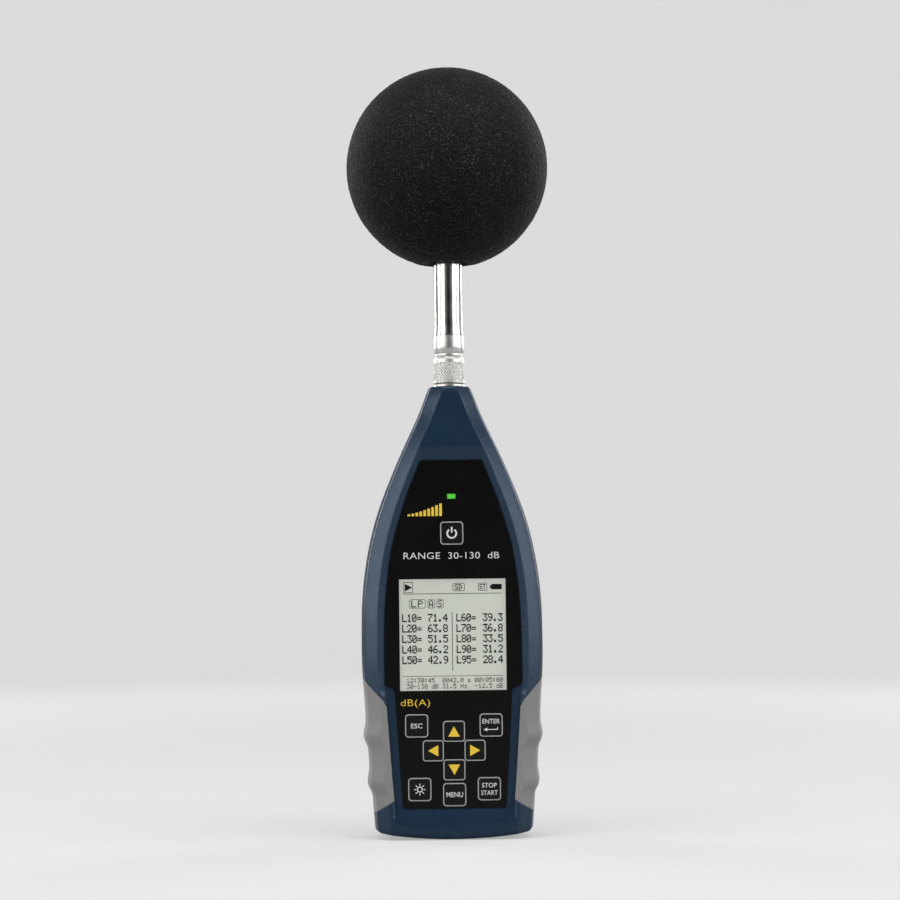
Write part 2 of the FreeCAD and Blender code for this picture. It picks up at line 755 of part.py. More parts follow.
def is_key_hole_corner(edge):
    if not along_y(edge, val("panel_thick")):
        return False
    middle, gap = edge.CenterOfMass, val("key_gap")
    for _, x, z, (width, height) in KEYS:
        off_x = abs(abs(middle.x - x) - (num(width) / 2 + gap))
        off_z = abs(abs(middle.z - z) - (num(height) / 2 + gap))
        if off_x < 1e-3 and off_z < 1e-3:
            return True
    return False


def build_front_panel():
    panel = body("front_panel", (0, panel_back, 0))
    extrude(panel, poly, (both(panel_half),), dim("panel_thick"))
    sketch = new_sketch(panel)
    gap = dim("key_gap") * 2
    for _, x, z, (width, height) in KEYS:
        rect(sketch, x, z, width + gap, height + gap)
    rect(sketch, 0.0, dim("window_z"), dim("window_width"), dim("window_height"))
    rect(sketch, 0.0, dim("lens_z"), dim("lens_width") + 0.1, dim("lens_height") + 0.1)
    fillet(panel, pocket_through(panel, sketch), dim("key_corner"), is_key_hole_corner)


def build_window_and_lens():
    window = body("display_window", (0, panel_back, dim("window_z")))
    outline = (0.0, 0.0, dim("window_width") - 0.1, dim("window_height") - 0.1)
    extrude(window, rect, outline, dim("panel_thick"))
    lens = body("led_lens", (0, -dim("lens_back"), dim("lens_z")))
    outline = (0.0, 0.0, dim("lens_width"), dim("lens_height"))
    extrude(lens, rect, outline, dim("panel_face") - dim("lens_back") + 0.05)


def build_key(name, x, z, width, height):
    """Cap with rounded corners, four retaining ears behind the panel and a plunger."""
    cap_tall = dim("panel_thick") + dim("key_behind") + dim("key_proud")
    ears, ear_wide = dim("key_ear") * 2, dim("key_ear_wide")
    face_y = -num(cap_tall)

    def on_face(edge):
        bounds = edge.BoundBox
        return abs(bounds.YMin - face_y) < 1e-6 and abs(bounds.YMax - face_y) < 1e-6

    key = body(name, (x, panel_back + dim("key_behind"), z))
    cap = extrude(key, rect, (0.0, 0.0, width, height), cap_tall)
    rounded = fillet(key, cap, dim("key_corner"), lambda e: along_y(e, num(cap_tall)))
    fillet(key, rounded, 0.15, on_face)
    extrude(key, rect, (0.0, 0.0, width + ears, ear_wide), dim("key_flange"))
    extrude(key, rect, (0.0, 0.0, ear_wide, height + ears), dim("key_flange"))
    extrude(key, disc, (0.0, 0.0, dim("plunger_radius")), dim("plunger_length"), backwards=True)


def build_keys():
    for name, x, z, (width, height) in KEYS:
        build_key(name, x, z, width, height)


def build_snap_domes():
    """Hollow domes on the display board, one under each key."""
    domes = []
    for _, x, z, _ in KEYS:
        foot = (x, -dim("display_board_y"), z)
        domes.append(cut(cone(3.0, 1.6, 0.4, foot, "-y"), cone(2.75, 1.35, 0.28, foot, "-y")))
    group(domes, "snap_domes")


# --------------------------------------------------------------------------------------
# Boards and what they carry
# --------------------------------------------------------------------------------------
# right-hand half outlines, (x, z)
DISPLAY_BOARD = [(25.0, 15.5), (28.6, 50.0), (28.6, 127.0), (15.2, 143.0), (15.2, 158.0)]
MAIN_BOARD = [
    (20.8, 5.7), (20.8, 11.0), (28.0, 16.0), (28.6, 127.0), (15.2, 143.0), (15.2, 160.0),
]
# x range, height above the board, z range
FRONT_CHIPS = [
    ((-9.0, 5.0), 1.5, (84.0, 98.0)), ((-21.0, -13.0), 1.3, (88.0, 96.0)),
    ((10.5, 20.0), 1.2, (82.0, 94.0)), ((-18.0, -11.0), 1.2, (26.0, 33.0)),
    ((-4.0, 2.0), 1.4, (27.0, 33.0)), ((8.0, 14.0), 2.8, (26.0, 32.0)),
    ((17.0, 21.0), 2.4, (40.0, 47.0)), ((-22.0, -17.0), 2.0, (42.0, 46.0)),
]
REAR_CHIPS = [((-20.0, -12.0), 1.2, (100.0, 108.0)), ((14.0, 20.0), 1.4, (104.0, 107.0))]
main_front = -dim("main_board_y")
main_rear = main_front + dim("board_thick")


def build_board(label, outline, front_depth, hole_radius):
    board = body(label, (0, -front_depth + dim("board_thick"), 0))
    extrude(board, poly, (both(outline),), dim("board_thick"))
    sketch = new_sketch(board)
    for x, z in BOARD_POSTS:
        disc(sketch, x, z, hole_radius)
    pocket_through(board, sketch)


def build_boards():
    build_board("display_board", DISPLAY_BOARD, dim("display_board_y"), 1.75)
    build_board("main_board", MAIN_BOARD, dim("main_board_y"), 1.2)


def build_board_parts():
    chips = [box(x, (main_front - tall, main_front), z) for x, tall, z in FRONT_CHIPS]
    chips += [box(x, (main_rear, main_rear + tall), z) for x, tall, z in REAR_CHIPS]
    # status lamp on the display board, behind its lens
    board_front, lamp_z = -dim("display_board_y"), dim("lens_z")
    chips.append(box((-1.5, 1.5), (board_front - 1.0, board_front), (lamp_z - 0.8, lamp_z + 0.8)))
    group(chips, "board_chips")

    # the shield can is open towards the board
    half, front, low, high, sheet_thick = 13.6, -5.3, 118.0, 139.0, 0.3
    inner = half - sheet_thick
    can = box((-half, half), (front, main_front), (low, high))
    hollow = box((-inner, inner), (front + sheet_thick, main_front),
                 (low + sheet_thick, high - sheet_thick))
    cut(can, hollow, label="shield_can")
    box((-13.0, 13.0), (-5.6, main_front), (104.0, 109.0), label="board_header")


def build_screws():
    board_screws = [fuse(cyl(1.9, 1.2, (x, 0.0, z), "y"), cyl(1.0, 6.0, (x, 0.1, z), "-y"))
                    for x, z in BOARD_POSTS]
    group(board_screws, "board_screws")

    slot_long, slot_wide, slot_depth = 1.6, 0.35, 2.2  # half length, half width, depth
    case_screws = []
    for x, z in CASE_SCREWS:
        top = back_y(z)
        seat = top - val("screw_sunk")
        head = cyl(dim("screw_head"), dim("screw_head_tall"), (x, seat, z), "y")
        shank = cyl(dim("screw_shank"), seat + SCREW_TIP, (x, -SCREW_TIP, z), "y")
        slots = [box((x - half_x, x + half_x), (top - slot_depth, top), (z - half_z, z + half_z))
                 for half_x, half_z in ((slot_long, slot_wide), (slot_wide, slot_long))]
        case_screws.append(cut(fuse(head, shank), *slots))
    group(case_screws, "case_screws")


def build_display():
    half, low = dim("lcd_half_width"), dim("lcd_low")
    high = low + dim("lcd_tall")
    box((-half, half), (-11.6, -9.8), (low, high), label="lcd_glass")
    box((-half, half), (-9.75, -7.25), (low, high), label="backlight_panel")
    # the frame is a box opened at the bottom, behind and in front of the viewing area
    frame = box((-half - 0.45, half + 0.45), (-12.0, -7.22), (low - 0.05, high + 0.45))
    inside = box((-half - 0.05, half + 0.05), (-11.65, -7.0), (low - 1.0, high + 0.05))
    view = box((-24.2, 24.2), (-13.0, -11.0), (64.6, 115.2))
    cut(frame, inside, view, label="lcd_frame")

    ribbon_width = 22.0
    ribbon = body("display_ribbon", (-ribbon_width / 2, 0, 0))
    sketch = new_sketch(ribbon, "YZ_Plane")
    poly(sketch, [  # y, z
        (-9.7, 61.45), (-9.7, 60.0), (-8.0, 58.6), (-7.25, 58.6),
        (-7.25, 58.8), (-7.92, 58.8), (-9.5, 60.1), (-9.5, 61.45),
    ])
    pad = ribbon.newObject("PartDesign::Pad", fresh("pad"))
    pad.Profile = sketch
    pad.Length = ribbon_width
    sketch.Visibility = False


def build_clock_cell_and_card():
    """Clock cell, memory card and its socket on the rear of the main board."""
    cyl(6.25, 2.0, (0, 0.15, 84.0), "y", label="clock_cell")
    socket = box((-7.1, 7.1), (0.05, 2.0), (96.0, 111.0))
    card_slot = box((-5.7, 5.7), (0.5, 1.6), (96.6, 115.0))
    cut(socket, card_slot, label="card_socket")
    box((-5.5, 5.5), (0.6, 1.5), (97.0, 112.0), label="memory_card")


# --------------------------------------------------------------------------------------
# Battery bay contents
# --------------------------------------------------------------------------------------
CELL_ROWS = [(-1.5, True), (-0.5, False), (0.5, True), (1.5, False)]  # pitches from x = 0, nub up
NUB_SUNK = 0.2  # overlap of the nub with its barrel
CONTACT_HALF = 4.6
SPRING_HALF_TURNS = 6
SPRING_LIFT = 0.4  # height of the spring's first wire centre above its contact plate


def build_cell(x, nub_up):
    long, gap = dim("cell_length"), dim("cell_end_gap")
    low = dim("bay_low") + gap if nub_up else dim("bay_high") - gap - long
    nub_low = low + long - NUB_SUNK if nub_up else low - dim("nub_height")
    barrel = cyl(dim("cell_radius"), long, (x, dim("cell_y"), low))
    nub = cyl(dim("nub_radius"), dim("nub_height") + NUB_SUNK, (x, dim("cell_y"), nub_low))
    doc.recompute()
    rounded = doc.addObject("Part::Fillet", fresh("fillet"))
    rounded.Base = barrel
    rounded.Edges = [(i, 0.6, 0.6) for i, e in enumerate(barrel.Shape.Edges, start=1)
                     if isinstance(e.Curve, Part.Circle)]
    return fuse(rounded, nub)


def build_batteries():
    cells, plates = [], []
    thick = dim("contact_thick")
    for pitches, nub_up in CELL_ROWS:
        x = dim("cell_pitch") * pitches
        cells.append(build_cell(x, nub_up))
        for low in (dim("bay_low"), dim("bay_high") - thick):
            plates.append(box_about(x, dim("cell_y"), CONTACT_HALF, CONTACT_HALF,
                                    (low, low + thick)))
    group(cells, "batteries")
    group(plates, "battery_contacts")


def conical_spring(low_radius, high_radius, rise, wire):
    """Chain of half rings, each tilted so that its ends meet its neighbours."""
    halves = []
    for i in range(SPRING_HALF_TURNS):
        side = 1.0 if i % 2 == 0 else -1.0
        parts = [(i + step) / SPRING_HALF_TURNS for step in (0, 1)]
        radii = [low_radius + (high_radius - low_radius) * part for part in parts]
        start = Vector(side * radii[0], 0, rise * parts[0])
        end = Vector(-side * radii[1], 0, rise * parts[1])
        centre = (start + end) * 0.5
        ring_radius = (start - centre).Length
        ring_x = (start - centre).normalize()
        ring_y = Vector(0, side, 0)
        ring_z = ring_x.cross(ring_y)
        half = Part.makeTorus(ring_radius, wire, Vector(0, 0, 0), Vector(0, 0, 1),
                              -180, 180, 180)
        half.Placement = Placement(FreeCAD.Matrix(
            ring_x.x, ring_y.x, ring_z.x, centre.x,
            ring_x.y, ring_y.y, ring_z.y, centre.y,
            ring_x.z, ring_y.z, ring_z.z, centre.z,
            0, 0, 0, 1))
        halves.append(half)
    return halves[0].multiFuse(halves[1:])


def build_springs():
    lift = val("contact_thick") + SPRING_LIFT
    springs = []
    for pitches, nub_up in CELL_ROWS:
        spring = conical_spring(val("spring_radius"), val("spring_top_radius"),
                                val("spring_rise"), val("spring_wire"))
        foot = val("bay_low") + lift
        if not nub_up:
            spring.rotate(Vector(0, 0, 0), Vector(1, 0, 0), 180)
            foot = val("bay_high") - lift
        spring.translate(Vector(val("cell_pitch") * pitches, val("cell_y"), foot))
        springs.append(spring)
    feature("battery_springs", Part.makeCompound(springs))


# --------------------------------------------------------------------------------------
# Sockets in the base, tripod insert and rear label
# --------------------------------------------------------------------------------------
def build_sockets():
    mouth_z = 1.9  # the bores start just below the socket faces
    x, y = SOCKETS["dc"]
    shell = box_about(x, y, 4.5, 4.45, (2.0, 15.0))
    shell = cut(shell, cyl(2.85, 10.6, (x, y, mouth_z)), label="dc_body")
    fuse(shell, cyl(1.0, 9.6, (x, y, 3.2)), label="dc_socket")

    x, y = SOCKETS["usb"]
    shell = cut(box_about(x, y, 3.85, 2.0, (2.0, 11.2)),
                box_about(x, y, 3.5, 1.65, (mouth_z, 10.0)))
    fuse(shell, box_about(x, y, 2.6, 0.35, (3.0, 10.2)), label="usb_socket")

    for socket in ("aux", "serial"):
        x, y = SOCKETS[socket]
        shell = fuse(box_about(x, y, 3.0, 3.0, (2.6, 14.6)), cyl(2.9, 1.0, (x, y, 1.95)))
        cut(shell, cyl(1.8, 12.0, (x, y, mouth_z)), label=socket + "_socket")


def build_tripod_insert():
    """Plain sleeve with a through bore."""
    insert = body("tripod_insert", (0, dim("upper_back_depth"), dim("insert_z")))
    extrude(insert, disc, (0.0, 0.0, dim("insert_radius")), dim("insert_length"))
    sketch = new_sketch(insert)
    disc(sketch, 0.0, 0.0, dim("insert_bore"))
    pocket_through(insert, sketch)


def build_rear_label():
    back = dim("upper_back_depth")
    box((-14.0, 14.0), (back - 0.28, back - 0.03), (137.0, 159.0), label="rear_label")


# --------------------------------------------------------------------------------------
# Threaded coaxial coupling between the meter and the preamplifier
# --------------------------------------------------------------------------------------
def build_coupling_socket():
    thread, rim, low = dim("socket_thread"), dim("flange_radius"), dim("flange_low")
    top = low + dim("flange_tall")
    turned("coupling_socket", [
        (4.15, 186.0), (4.9, 186.0), (4.9, 188.0), (thread, 188.0), (thread, low),
        (rim - 0.25, low), (rim, low + 0.25), (rim, top - 0.3), (rim - 0.3, top),
        (thread - 0.5, top), (thread - 0.5, 202.2), (thread, 202.7), (thread, 208.8),
        (thread - 0.5, 209.3), (4.15, 209.3),
    ])
    turned("socket_insulator", [
        (1.3, 187.0), (4.1, 187.0), (4.1, 202.0), (2.45, 202.0), (2.45, 207.8), (1.3, 207.8),
    ])
    turned("socket_contact", [
        (0.0, 183.5), (0.9, 183.5), (0.9, 186.6), (1.25, 187.2), (1.25, 207.4),
        (0.75, 207.4), (0.75, 201.0), (0.0, 201.0),
    ])
    hexagon = primitive("Prism", {"Circumradius": 8.0, "Height": 2.4}, (0, 0, 191.4))
    hexagon.Polygon = 6
    cut(hexagon, cyl(thread + 0.03, 6, (0, 0, 190)), label="socket_nut")


def build_coax_lead():
    start = Vector(0, 0, 183.2)
    path = Part.BSplineCurve()
    path.interpolate([
        start, Vector(0, -0.6, 177), Vector(2.5, -2.6, 168), Vector(5.0, -2.85, 160),
        Vector(5.5, -2.85, 152.0),
    ])
    ring = Part.Wire([Part.makeCircle(1.0, start, Vector(0, -0.1, -1))])
    feature("coax_lead", Part.Wire([path.toShape()]).makePipeShell([ring], True, True))


def build_coupling_plug():
    rim, low, high = dim("nut_radius"), dim("nut_low"), dim("nut_high")
    turned("coupling_nut", [
        (5.62, low), (rim - 0.35, low), (rim, low + 0.35), (rim, low + 0.9),
        (rim - 0.2, low + 1.1), (rim - 0.2, low + 1.3), (rim, low + 1.5), (rim, low + 9.2),
        (rim - 0.18, low + 9.4), (rim - 0.18, low + 10.6), (rim - 0.4, low + 11.3),
        (rim - 0.95, high), (4.85, high), (4.85, low + 10.2), (5.62, low + 9.8),
    ])
    turned("plug_sleeve", [
        (2.65, 203.4), (4.05, 203.4), (4.05, 209.5), (5.5, 209.5), (5.5, 210.9),
        (4.7, 210.9), (4.7, 213.95), (2.0, 213.95), (2.0, 209.0), (2.65, 208.6),
    ])
    turned("plug_pin", [
        (0.0, 203.6), (0.35, 203.2), (0.65, 204.2), (0.65, 214.6), (0.0, 214.6),
    ])
    turned("plug_insulator", [(0.68, 209.4), (1.97, 209.4), (1.97, 213.8), (0.68, 213.8)])


# --------------------------------------------------------------------------------------
# Preamplifier
# --------------------------------------------------------------------------------------
def build_preamplifier():
    radius, top, tube_low = dim("mic_radius"), dim("capsule_low"), dim("tube_low")
    bore = radius - dim("tube_wall")
    low, collar = dim("collar_low"), dim("collar_radius")
    turned("preamp_collar", [
        (4.75, low), (radius - 0.25, low), (radius - 0.25, low + 0.9), (radius + 0.1, low + 1.6),
        (collar - 0.05, low + 3.4), (collar, low + 4.6), (collar - 0.1, low + 7.2),
        (collar - 0.17, tube_low - 0.12), (bore - 0.03, tube_low - 0.12),
        (bore - 0.03, low + 2.0), (4.75, low + 1.0),
    ])
    turned("preamp_tube", [
        (bore, tube_low), (radius + 0.38, tube_low), (radius + 0.28, tube_low + 1.4),
        (radius + 0.08, tube_low + 3.2), (radius, tube_low + 5.0), (radius, top - 0.15),
        (radius - 0.5, top - 0.15), (radius - 0.5, top + 3.4), (bore - 0.35, top + 3.4),
        (bore - 0.35, top - 6.0), (bore, top - 6.4),
    ])
    turned("preamp_insulator", [
        (1.0, top - 5.0), (bore - 0.4, top - 5.0), (bore - 0.4, top + 0.5), (2.2, top + 0.5),
        (2.2, top + 1.6), (1.0, top + 1.6),
    ])
    turned("preamp_contact", [
        (0.0, top - 9.0), (0.5, top - 9.0), (0.5, top - 5.6), (0.95, top - 5.2),
        (0.95, top + 1.9), (0.6, top + 2.3), (0.6, top + 2.75), (0.3, top + 3.0),
        (0.0, top + 3.0),
    ])
    thick, width, board_low, board_high = 0.8, 8.8, 226.0, 276.0
    board = body("preamp_board", (0, thick / 2, 0))
    middle = (board_low + board_high) / 2
    extrude(board, rect, (0.0, middle, width, board_high - board_low), thick)


# --------------------------------------------------------------------------------------
# Microphone capsule and windscreen
# --------------------------------------------------------------------------------------
def build_capsule():
    radius, low, tip = dim("mic_radius"), dim("capsule_low"), dim("mic_tip")
    turned("mic_housing", [
        (radius - 0.44, low), (radius, low), (radius, tip - 5.6), (radius - 0.3, tip - 5.4),
        (radius - 0.3, tip - 3.4), (radius - 0.9, tip - 3.4), (radius - 0.9, tip - 4.4),
        (radius - 1.3, tip - 4.6), (radius - 1.3, low + 4.6), (radius - 0.44, low + 4.2),
    ])
    turned("mic_insulator", [
        (1.15, low + 4.9), (radius - 1.35, low + 4.9), (radius - 1.35, low + 6.1),
        (1.15, low + 6.1),
    ])
    turned("mic_backplate", [
        (0.0, low + 3.15), (1.1, low + 3.15), (1.1, low + 6.2), (4.3, low + 6.2),
        (4.3, low + 8.6), (0.0, low + 8.6),
    ])
    turned("mic_diaphragm", [
        (0.0, tip - 3.35), (radius - 0.35, tip - 3.35), (radius - 0.35, tip - 3.2),
        (0.0, tip - 3.2),
    ])


def build_grid():
    """Protection cap with a ring of radial slots and a square centre hole."""
    slot_inner, slot_outer, slot_half, slot_count = 1.3, 5.0, 0.3, 10
    rim, tip = dim("grid_radius"), dim("mic_tip")
    bore = dim("mic_radius") - 0.27
    grid = turned("mic_grid", [
        (bore, tip - 5.3), (rim, tip - 5.3), (rim, tip - 0.7), (rim - 0.2, tip - 0.2),
        (rim - 0.7, tip), (0.0, tip), (0.0, tip - 0.7), (rim - 1.0, tip - 0.7),
        (bore, tip - 1.2),
    ])
    sketch = new_sketch(grid, "XY_Plane")
    poly(sketch, [
        (slot_inner, -slot_half), (slot_outer, -slot_half),
        (slot_outer, slot_half), (slot_inner, slot_half),
    ])
    slot = pocket_through(grid, sketch)
    pattern = grid.newObject("PartDesign::PolarPattern", fresh("pattern"))
    pattern.Originals = [slot]
    pattern.Axis = (origin_feature(grid, "Z_Axis"), [""])
    pattern.Angle = 360.0
    pattern.Occurrences = slot_count
    grid.Tip = pattern
    sketch = new_sketch(grid, "XY_Plane")
    rect(sketch, 0.0, 0.0, 2 * slot_half, 2 * slot_half)
    grid.Tip = pocket_through(grid, sketch)


def build_windscreen():
    """Foam ball with a blind bore and a funnel mouth."""
    radius, centre, bore_radius = dim("ball_radius"), dim("ball_z"), dim("foam_bore")
    bore_long = 52.0
    ball = primitive("Sphere", {"Radius": radius}, (0, 0, centre))
    bore = cyl(bore_radius, bore_long, (0, 0, dim("mic_tip") + 0.4 - bore_long))
    mouth = cone(bore_radius + 3.2, bore_radius, 3.4, (0, 0, centre - radius - 0.2))
    cut(ball, bore, mouth, label="windscreen_foam")


# --------------------------------------------------------------------------------------
# Build, check and write out
# --------------------------------------------------------------------------------------
for build in (
    build_front_shell, build_rear_shell, build_grips, build_battery_door,
    build_front_panel, build_window_and_lens, build_keys, build_snap_domes,
    build_boards, build_board_parts, build_screws, build_display, build_clock_cell_and_card,
    build_batteries, build_springs, build_sockets, build_tripod_insert, build_rear_label,
    build_coupling_socket, build_coax_lead, build_coupling_plug, build_preamplifier,
    build_capsule, build_grid, build_windscreen,
):
    build()
doc.recompute()

# plug_insulator and preamp_contact stay in the document and are not written out
NODES = [
    "front_shell", "rear_shell", "left_grip", "right_grip", "battery_door", "front_panel",
    "display_window", "led_lens", "snap_domes", "display_board", "main_board", "board_chips",
    "shield_can", "board_header", "board_screws", "case_screws", "lcd_glass",
    "backlight_panel", "lcd_frame", "display_ribbon", "clock_cell", "card_socket",
    "memory_card", "batteries", "battery_contacts", "battery_springs", "dc_socket",
    "usb_socket", "aux_socket", "serial_socket", "tripod_insert", "rear_label",
    "coupling_socket", "socket_insulator", "socket_contact", "socket_nut", "coax_lead",
    "coupling_nut", "plug_sleeve", "plug_pin", "preamp_collar", "preamp_tube",
    "preamp_insulator", "preamp_board", "mic_housing", "mic_insulator", "mic_backplate",
    "mic_diaphragm", "mic_grid", "windscreen_foam",
] + [key[0] for key in KEYS]

for obj in doc.Objects:
    bad = [state for state in obj.State if state in ("Invalid", "Error")]
    if bad:
        raise SystemExit("object %s (%s) is in state %s" % (obj.Name, obj.Label, bad))

# files of pieces that are no longer made are removed
os.makedirs("parts", exist_ok=True)
for name in os.listdir("parts"):
    if name.endswith(".step") and name[:-5] not in NODES:
        os.remove(os.path.join("parts", name))

labels = {obj.Label: obj for obj in doc.Objects}
for node in NODES:
    shape = labels[node].Shape
    if shape.isNull() or not shape.isValid() or not shape.Solids:
        raise SystemExit("sub-part %s has no valid solid" % node)
for node in NODES:
    labels[node].Shape.exportStep(os.path.join("parts", node + ".step"))
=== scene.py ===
"""A handheld sound level meter, standing upright on a pale studio floor.

The front panel, keys and display face -Y, X runs to the reader's right and Z is up. A knurled
lock ring and a foam ball sit round the Z axis, at the top.
"""
import json
import math
import random

import bmesh
import bpy
import numpy as np
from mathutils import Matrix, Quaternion, Vector, noise


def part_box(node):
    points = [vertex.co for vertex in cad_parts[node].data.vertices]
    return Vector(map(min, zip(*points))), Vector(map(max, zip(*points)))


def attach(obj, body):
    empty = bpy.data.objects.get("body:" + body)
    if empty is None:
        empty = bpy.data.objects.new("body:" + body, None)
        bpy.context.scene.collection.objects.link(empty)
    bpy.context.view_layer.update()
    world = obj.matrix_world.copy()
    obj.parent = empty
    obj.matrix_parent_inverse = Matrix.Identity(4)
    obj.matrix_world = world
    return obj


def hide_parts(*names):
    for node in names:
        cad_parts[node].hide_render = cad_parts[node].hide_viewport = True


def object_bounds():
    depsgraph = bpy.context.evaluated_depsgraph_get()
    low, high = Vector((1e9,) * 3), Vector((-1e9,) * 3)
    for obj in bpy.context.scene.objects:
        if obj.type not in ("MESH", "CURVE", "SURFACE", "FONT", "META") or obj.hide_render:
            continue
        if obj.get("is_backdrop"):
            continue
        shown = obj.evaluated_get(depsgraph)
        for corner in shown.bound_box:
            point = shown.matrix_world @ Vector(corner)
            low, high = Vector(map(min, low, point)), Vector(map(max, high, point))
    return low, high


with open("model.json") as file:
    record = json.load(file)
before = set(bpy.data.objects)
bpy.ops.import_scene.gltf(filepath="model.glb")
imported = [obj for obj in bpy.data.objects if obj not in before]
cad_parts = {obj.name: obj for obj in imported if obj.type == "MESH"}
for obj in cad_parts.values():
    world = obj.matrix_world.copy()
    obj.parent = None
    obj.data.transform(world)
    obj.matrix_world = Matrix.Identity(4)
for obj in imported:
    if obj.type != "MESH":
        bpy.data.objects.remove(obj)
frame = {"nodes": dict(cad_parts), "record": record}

MM = 0.001
SCENE = bpy.context.scene
COLLECTION = SCENE.collection
MATERIALS = {}
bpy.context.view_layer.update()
random.seed(7)


# ------------------------------------------------------------------------------------------
# Shading kit. Every pattern reads the piece's own coordinates, in metres, so it stays put
# when a body moves.
# ------------------------------------------------------------------------------------------
class Shader:
    """A node material round one Principled shader, listed in MATERIALS under its name."""

    def __init__(self, name):
        material = bpy.data.materials.new(name)
        material.use_nodes = True
        self.tree = material.node_tree
        self.tree.nodes.clear()
        self.out = self.add("ShaderNodeOutputMaterial")
        self.bsdf = self.add("ShaderNodeBsdfPrincipled")
        self.put(self.out.inputs[0], self.bsdf.outputs[0])
        self.at = self.add("ShaderNodeTexCoord").outputs["Object"]
        MATERIALS[name] = material

    def add(self, kind, **props):
        node = self.tree.nodes.new(kind)
        for key, value in props.items():
            setattr(node, key, value)
        return node

    def put(self, socket, value):
        """Links a socket, or sets a plain value; a colour of three gets alpha 1."""
        if isinstance(value, bpy.types.NodeSocket):
            self.tree.links.new(value, socket)
        elif isinstance(value, (tuple, list)) and len(value) == 3 and socket.type == "RGBA":
            socket.default_value = (*value, 1.0)
        else:
            socket.default_value = value

    def set(self, **values):
        """Sets Principled inputs; underscores stand for spaces."""
        for key, value in values.items():
            self.put(self.bsdf.inputs[key.replace("_", " ")], value)

    def stretched(self, *scale):
        node = self.add("ShaderNodeMapping")
        self.put(node.inputs["Vector"], self.at)
        node.inputs["Scale"].default_value = scale
        return node.outputs[0]

    def noise(self, scale, detail=2.0, rough=0.5, at=None):
        node = self.add("ShaderNodeTexNoise")
        self.put(node.inputs["Vector"], at or self.at)
        node.inputs["Scale"].default_value = scale
        node.inputs["Detail"].default_value = detail
        node.inputs["Roughness"].default_value = rough
        return node.outputs[0]

    def cells(self, scale, feature="F1", at=None):
        node = self.add("ShaderNodeTexVoronoi", feature=feature)
        self.put(node.inputs["Vector"], at or self.at)
        node.inputs["Scale"].default_value = scale
        return node.outputs["Distance"]

    def maths(self, operation, a, b=0.0, clamp=False):
        node = self.add("ShaderNodeMath", operation=operation, use_clamp=clamp)
        self.put(node.inputs[0], a)
        self.put(node.inputs[1], b)
        return node.outputs[0]

    def remap(self, value, low, high, to_low=0.0, to_high=1.0):
        node = self.add("ShaderNodeMapRange", clamp=True)
        self.put(node.inputs[0], value)
        for i, limit in enumerate((low, high, to_low, to_high)):
            node.inputs[i + 1].default_value = limit
        return node.outputs[0]

    def cloud(self, scale, detail, rough, low, high, to=(0.0, 1.0)):
        """Noise whose range low..high is spread over the range `to`."""
        return self.remap(self.noise(scale, detail, rough), low, high, *to)

    def mix(self, factor, a, b):
        node = self.add("ShaderNodeMix", data_type="RGBA", blend_type="MIX")
        self.put(node.inputs[0], factor)
        self.put(node.inputs[6], a)
        self.put(node.inputs[7], b)
        return node.outputs[2]

    def split(self):
        node = self.add("ShaderNodeSeparateXYZ")
        self.put(node.inputs[0], self.at)
        return node.outputs

    def bevel(self, radius):
        node = self.add("ShaderNodeBevel", samples=4)
        node.inputs["Radius"].default_value = radius
        return node.outputs[0]

    def edge_wear_and_highlight(self, radius, breakup=900.0):
        """A mask that is 1 along edges, a little broken up, and 0 elsewhere; and the rounded
        normal."""
        soft = self.bevel(radius)
        flat = self.add("ShaderNodeNewGeometry").outputs["Normal"]
        dot = self.add("ShaderNodeVectorMath", operation="DOT_PRODUCT")
        self.put(dot.inputs[0], soft)
        self.put(dot.inputs[1], flat)
        edge = self.remap(dot.outputs["Value"], low=0.995, high=0.86)
        torn = self.cloud(breakup, detail=3.0, rough=0.6, low=0.35, high=0.62, to=(0.35, 1.0))
        return self.maths("MULTIPLY", edge, torn, clamp=True), soft

    def bump(self, height, distance, normal=None):
        node = self.add("ShaderNodeBump")
        node.inputs["Strength"].default_value = 1.0
        node.inputs["Distance"].default_value = distance
        self.put(node.inputs["Height"], height)
        if normal is not None:
            self.put(node.inputs["Normal"], normal)
        return node.outputs[0]


def shade(colour, factor):
    return tuple(min(1.0, channel * factor) for channel in colour)


# ------------------------------------------------------------------------------------------
# Material families. Scales are noise frequencies per metre; depths and edges are in metres.
# ------------------------------------------------------------------------------------------
def moulded(name, colour, rough, *, grain, depth, edge, vary=0.10, patch=55.0,
            edge_wear_and_highlight_colour=None, edge_rough=None, specular=0.5, tint=(1.0, 1.0, 1.0),
            sheen=0.0, dust=0.0):
    """Plastic, rubber and film: mould grain, soft patches of tone, rubbed edges lightened partly
    as wear and partly as a painted highlight, some dust.
    """
    if edge_rough is None:
        edge_rough = rough * 0.7
    shader = Shader(name)
    tone = shader.cloud(patch, detail=4.0, rough=0.55, low=0.3, high=0.7)
    base = shader.mix(tone, shade(colour, 1.0 - vary), shade(colour, 1.0 + vary))
    fine = shader.noise(grain, detail=2.0, rough=0.6)
    base = shader.mix(shader.remap(fine, 0.35, 0.7, to_high=0.35), base,
                      shade(colour, 1.0 + 2.2 * vary))
    if dust:
        settled = shader.cloud(420.0, detail=5.0, rough=0.7, low=0.55, high=0.8, to=(0.0, dust))
        base = shader.mix(settled, base, (0.22, 0.21, 0.2))
    # Edges lighten towards the edge colour: partly wear, partly a painted highlight along edges
    # and rims.
    mask, soft = shader.edge_wear_and_highlight(edge)
    base = shader.mix(shader.maths("MULTIPLY", mask, 0.55), base,
                      edge_wear_and_highlight_colour or shade(colour, 1.9))
    rubbed = shader.cloud(95.0, detail=4.0, rough=0.6, low=0.35, high=0.7,
                          to=(rough * 0.93, rough * 1.12))
    polish = shader.maths("MULTIPLY", mask, rough - edge_rough)
    shader.set(Base_Color=base, Roughness=shader.maths("SUBTRACT", rubbed, polish),
               Normal=shader.bump(fine, depth, soft),
               Specular_IOR_Level=specular, Specular_Tint=tint, Coat_Roughness=0.12,
               Sheen_Weight=sheen, Sheen_Roughness=0.5)


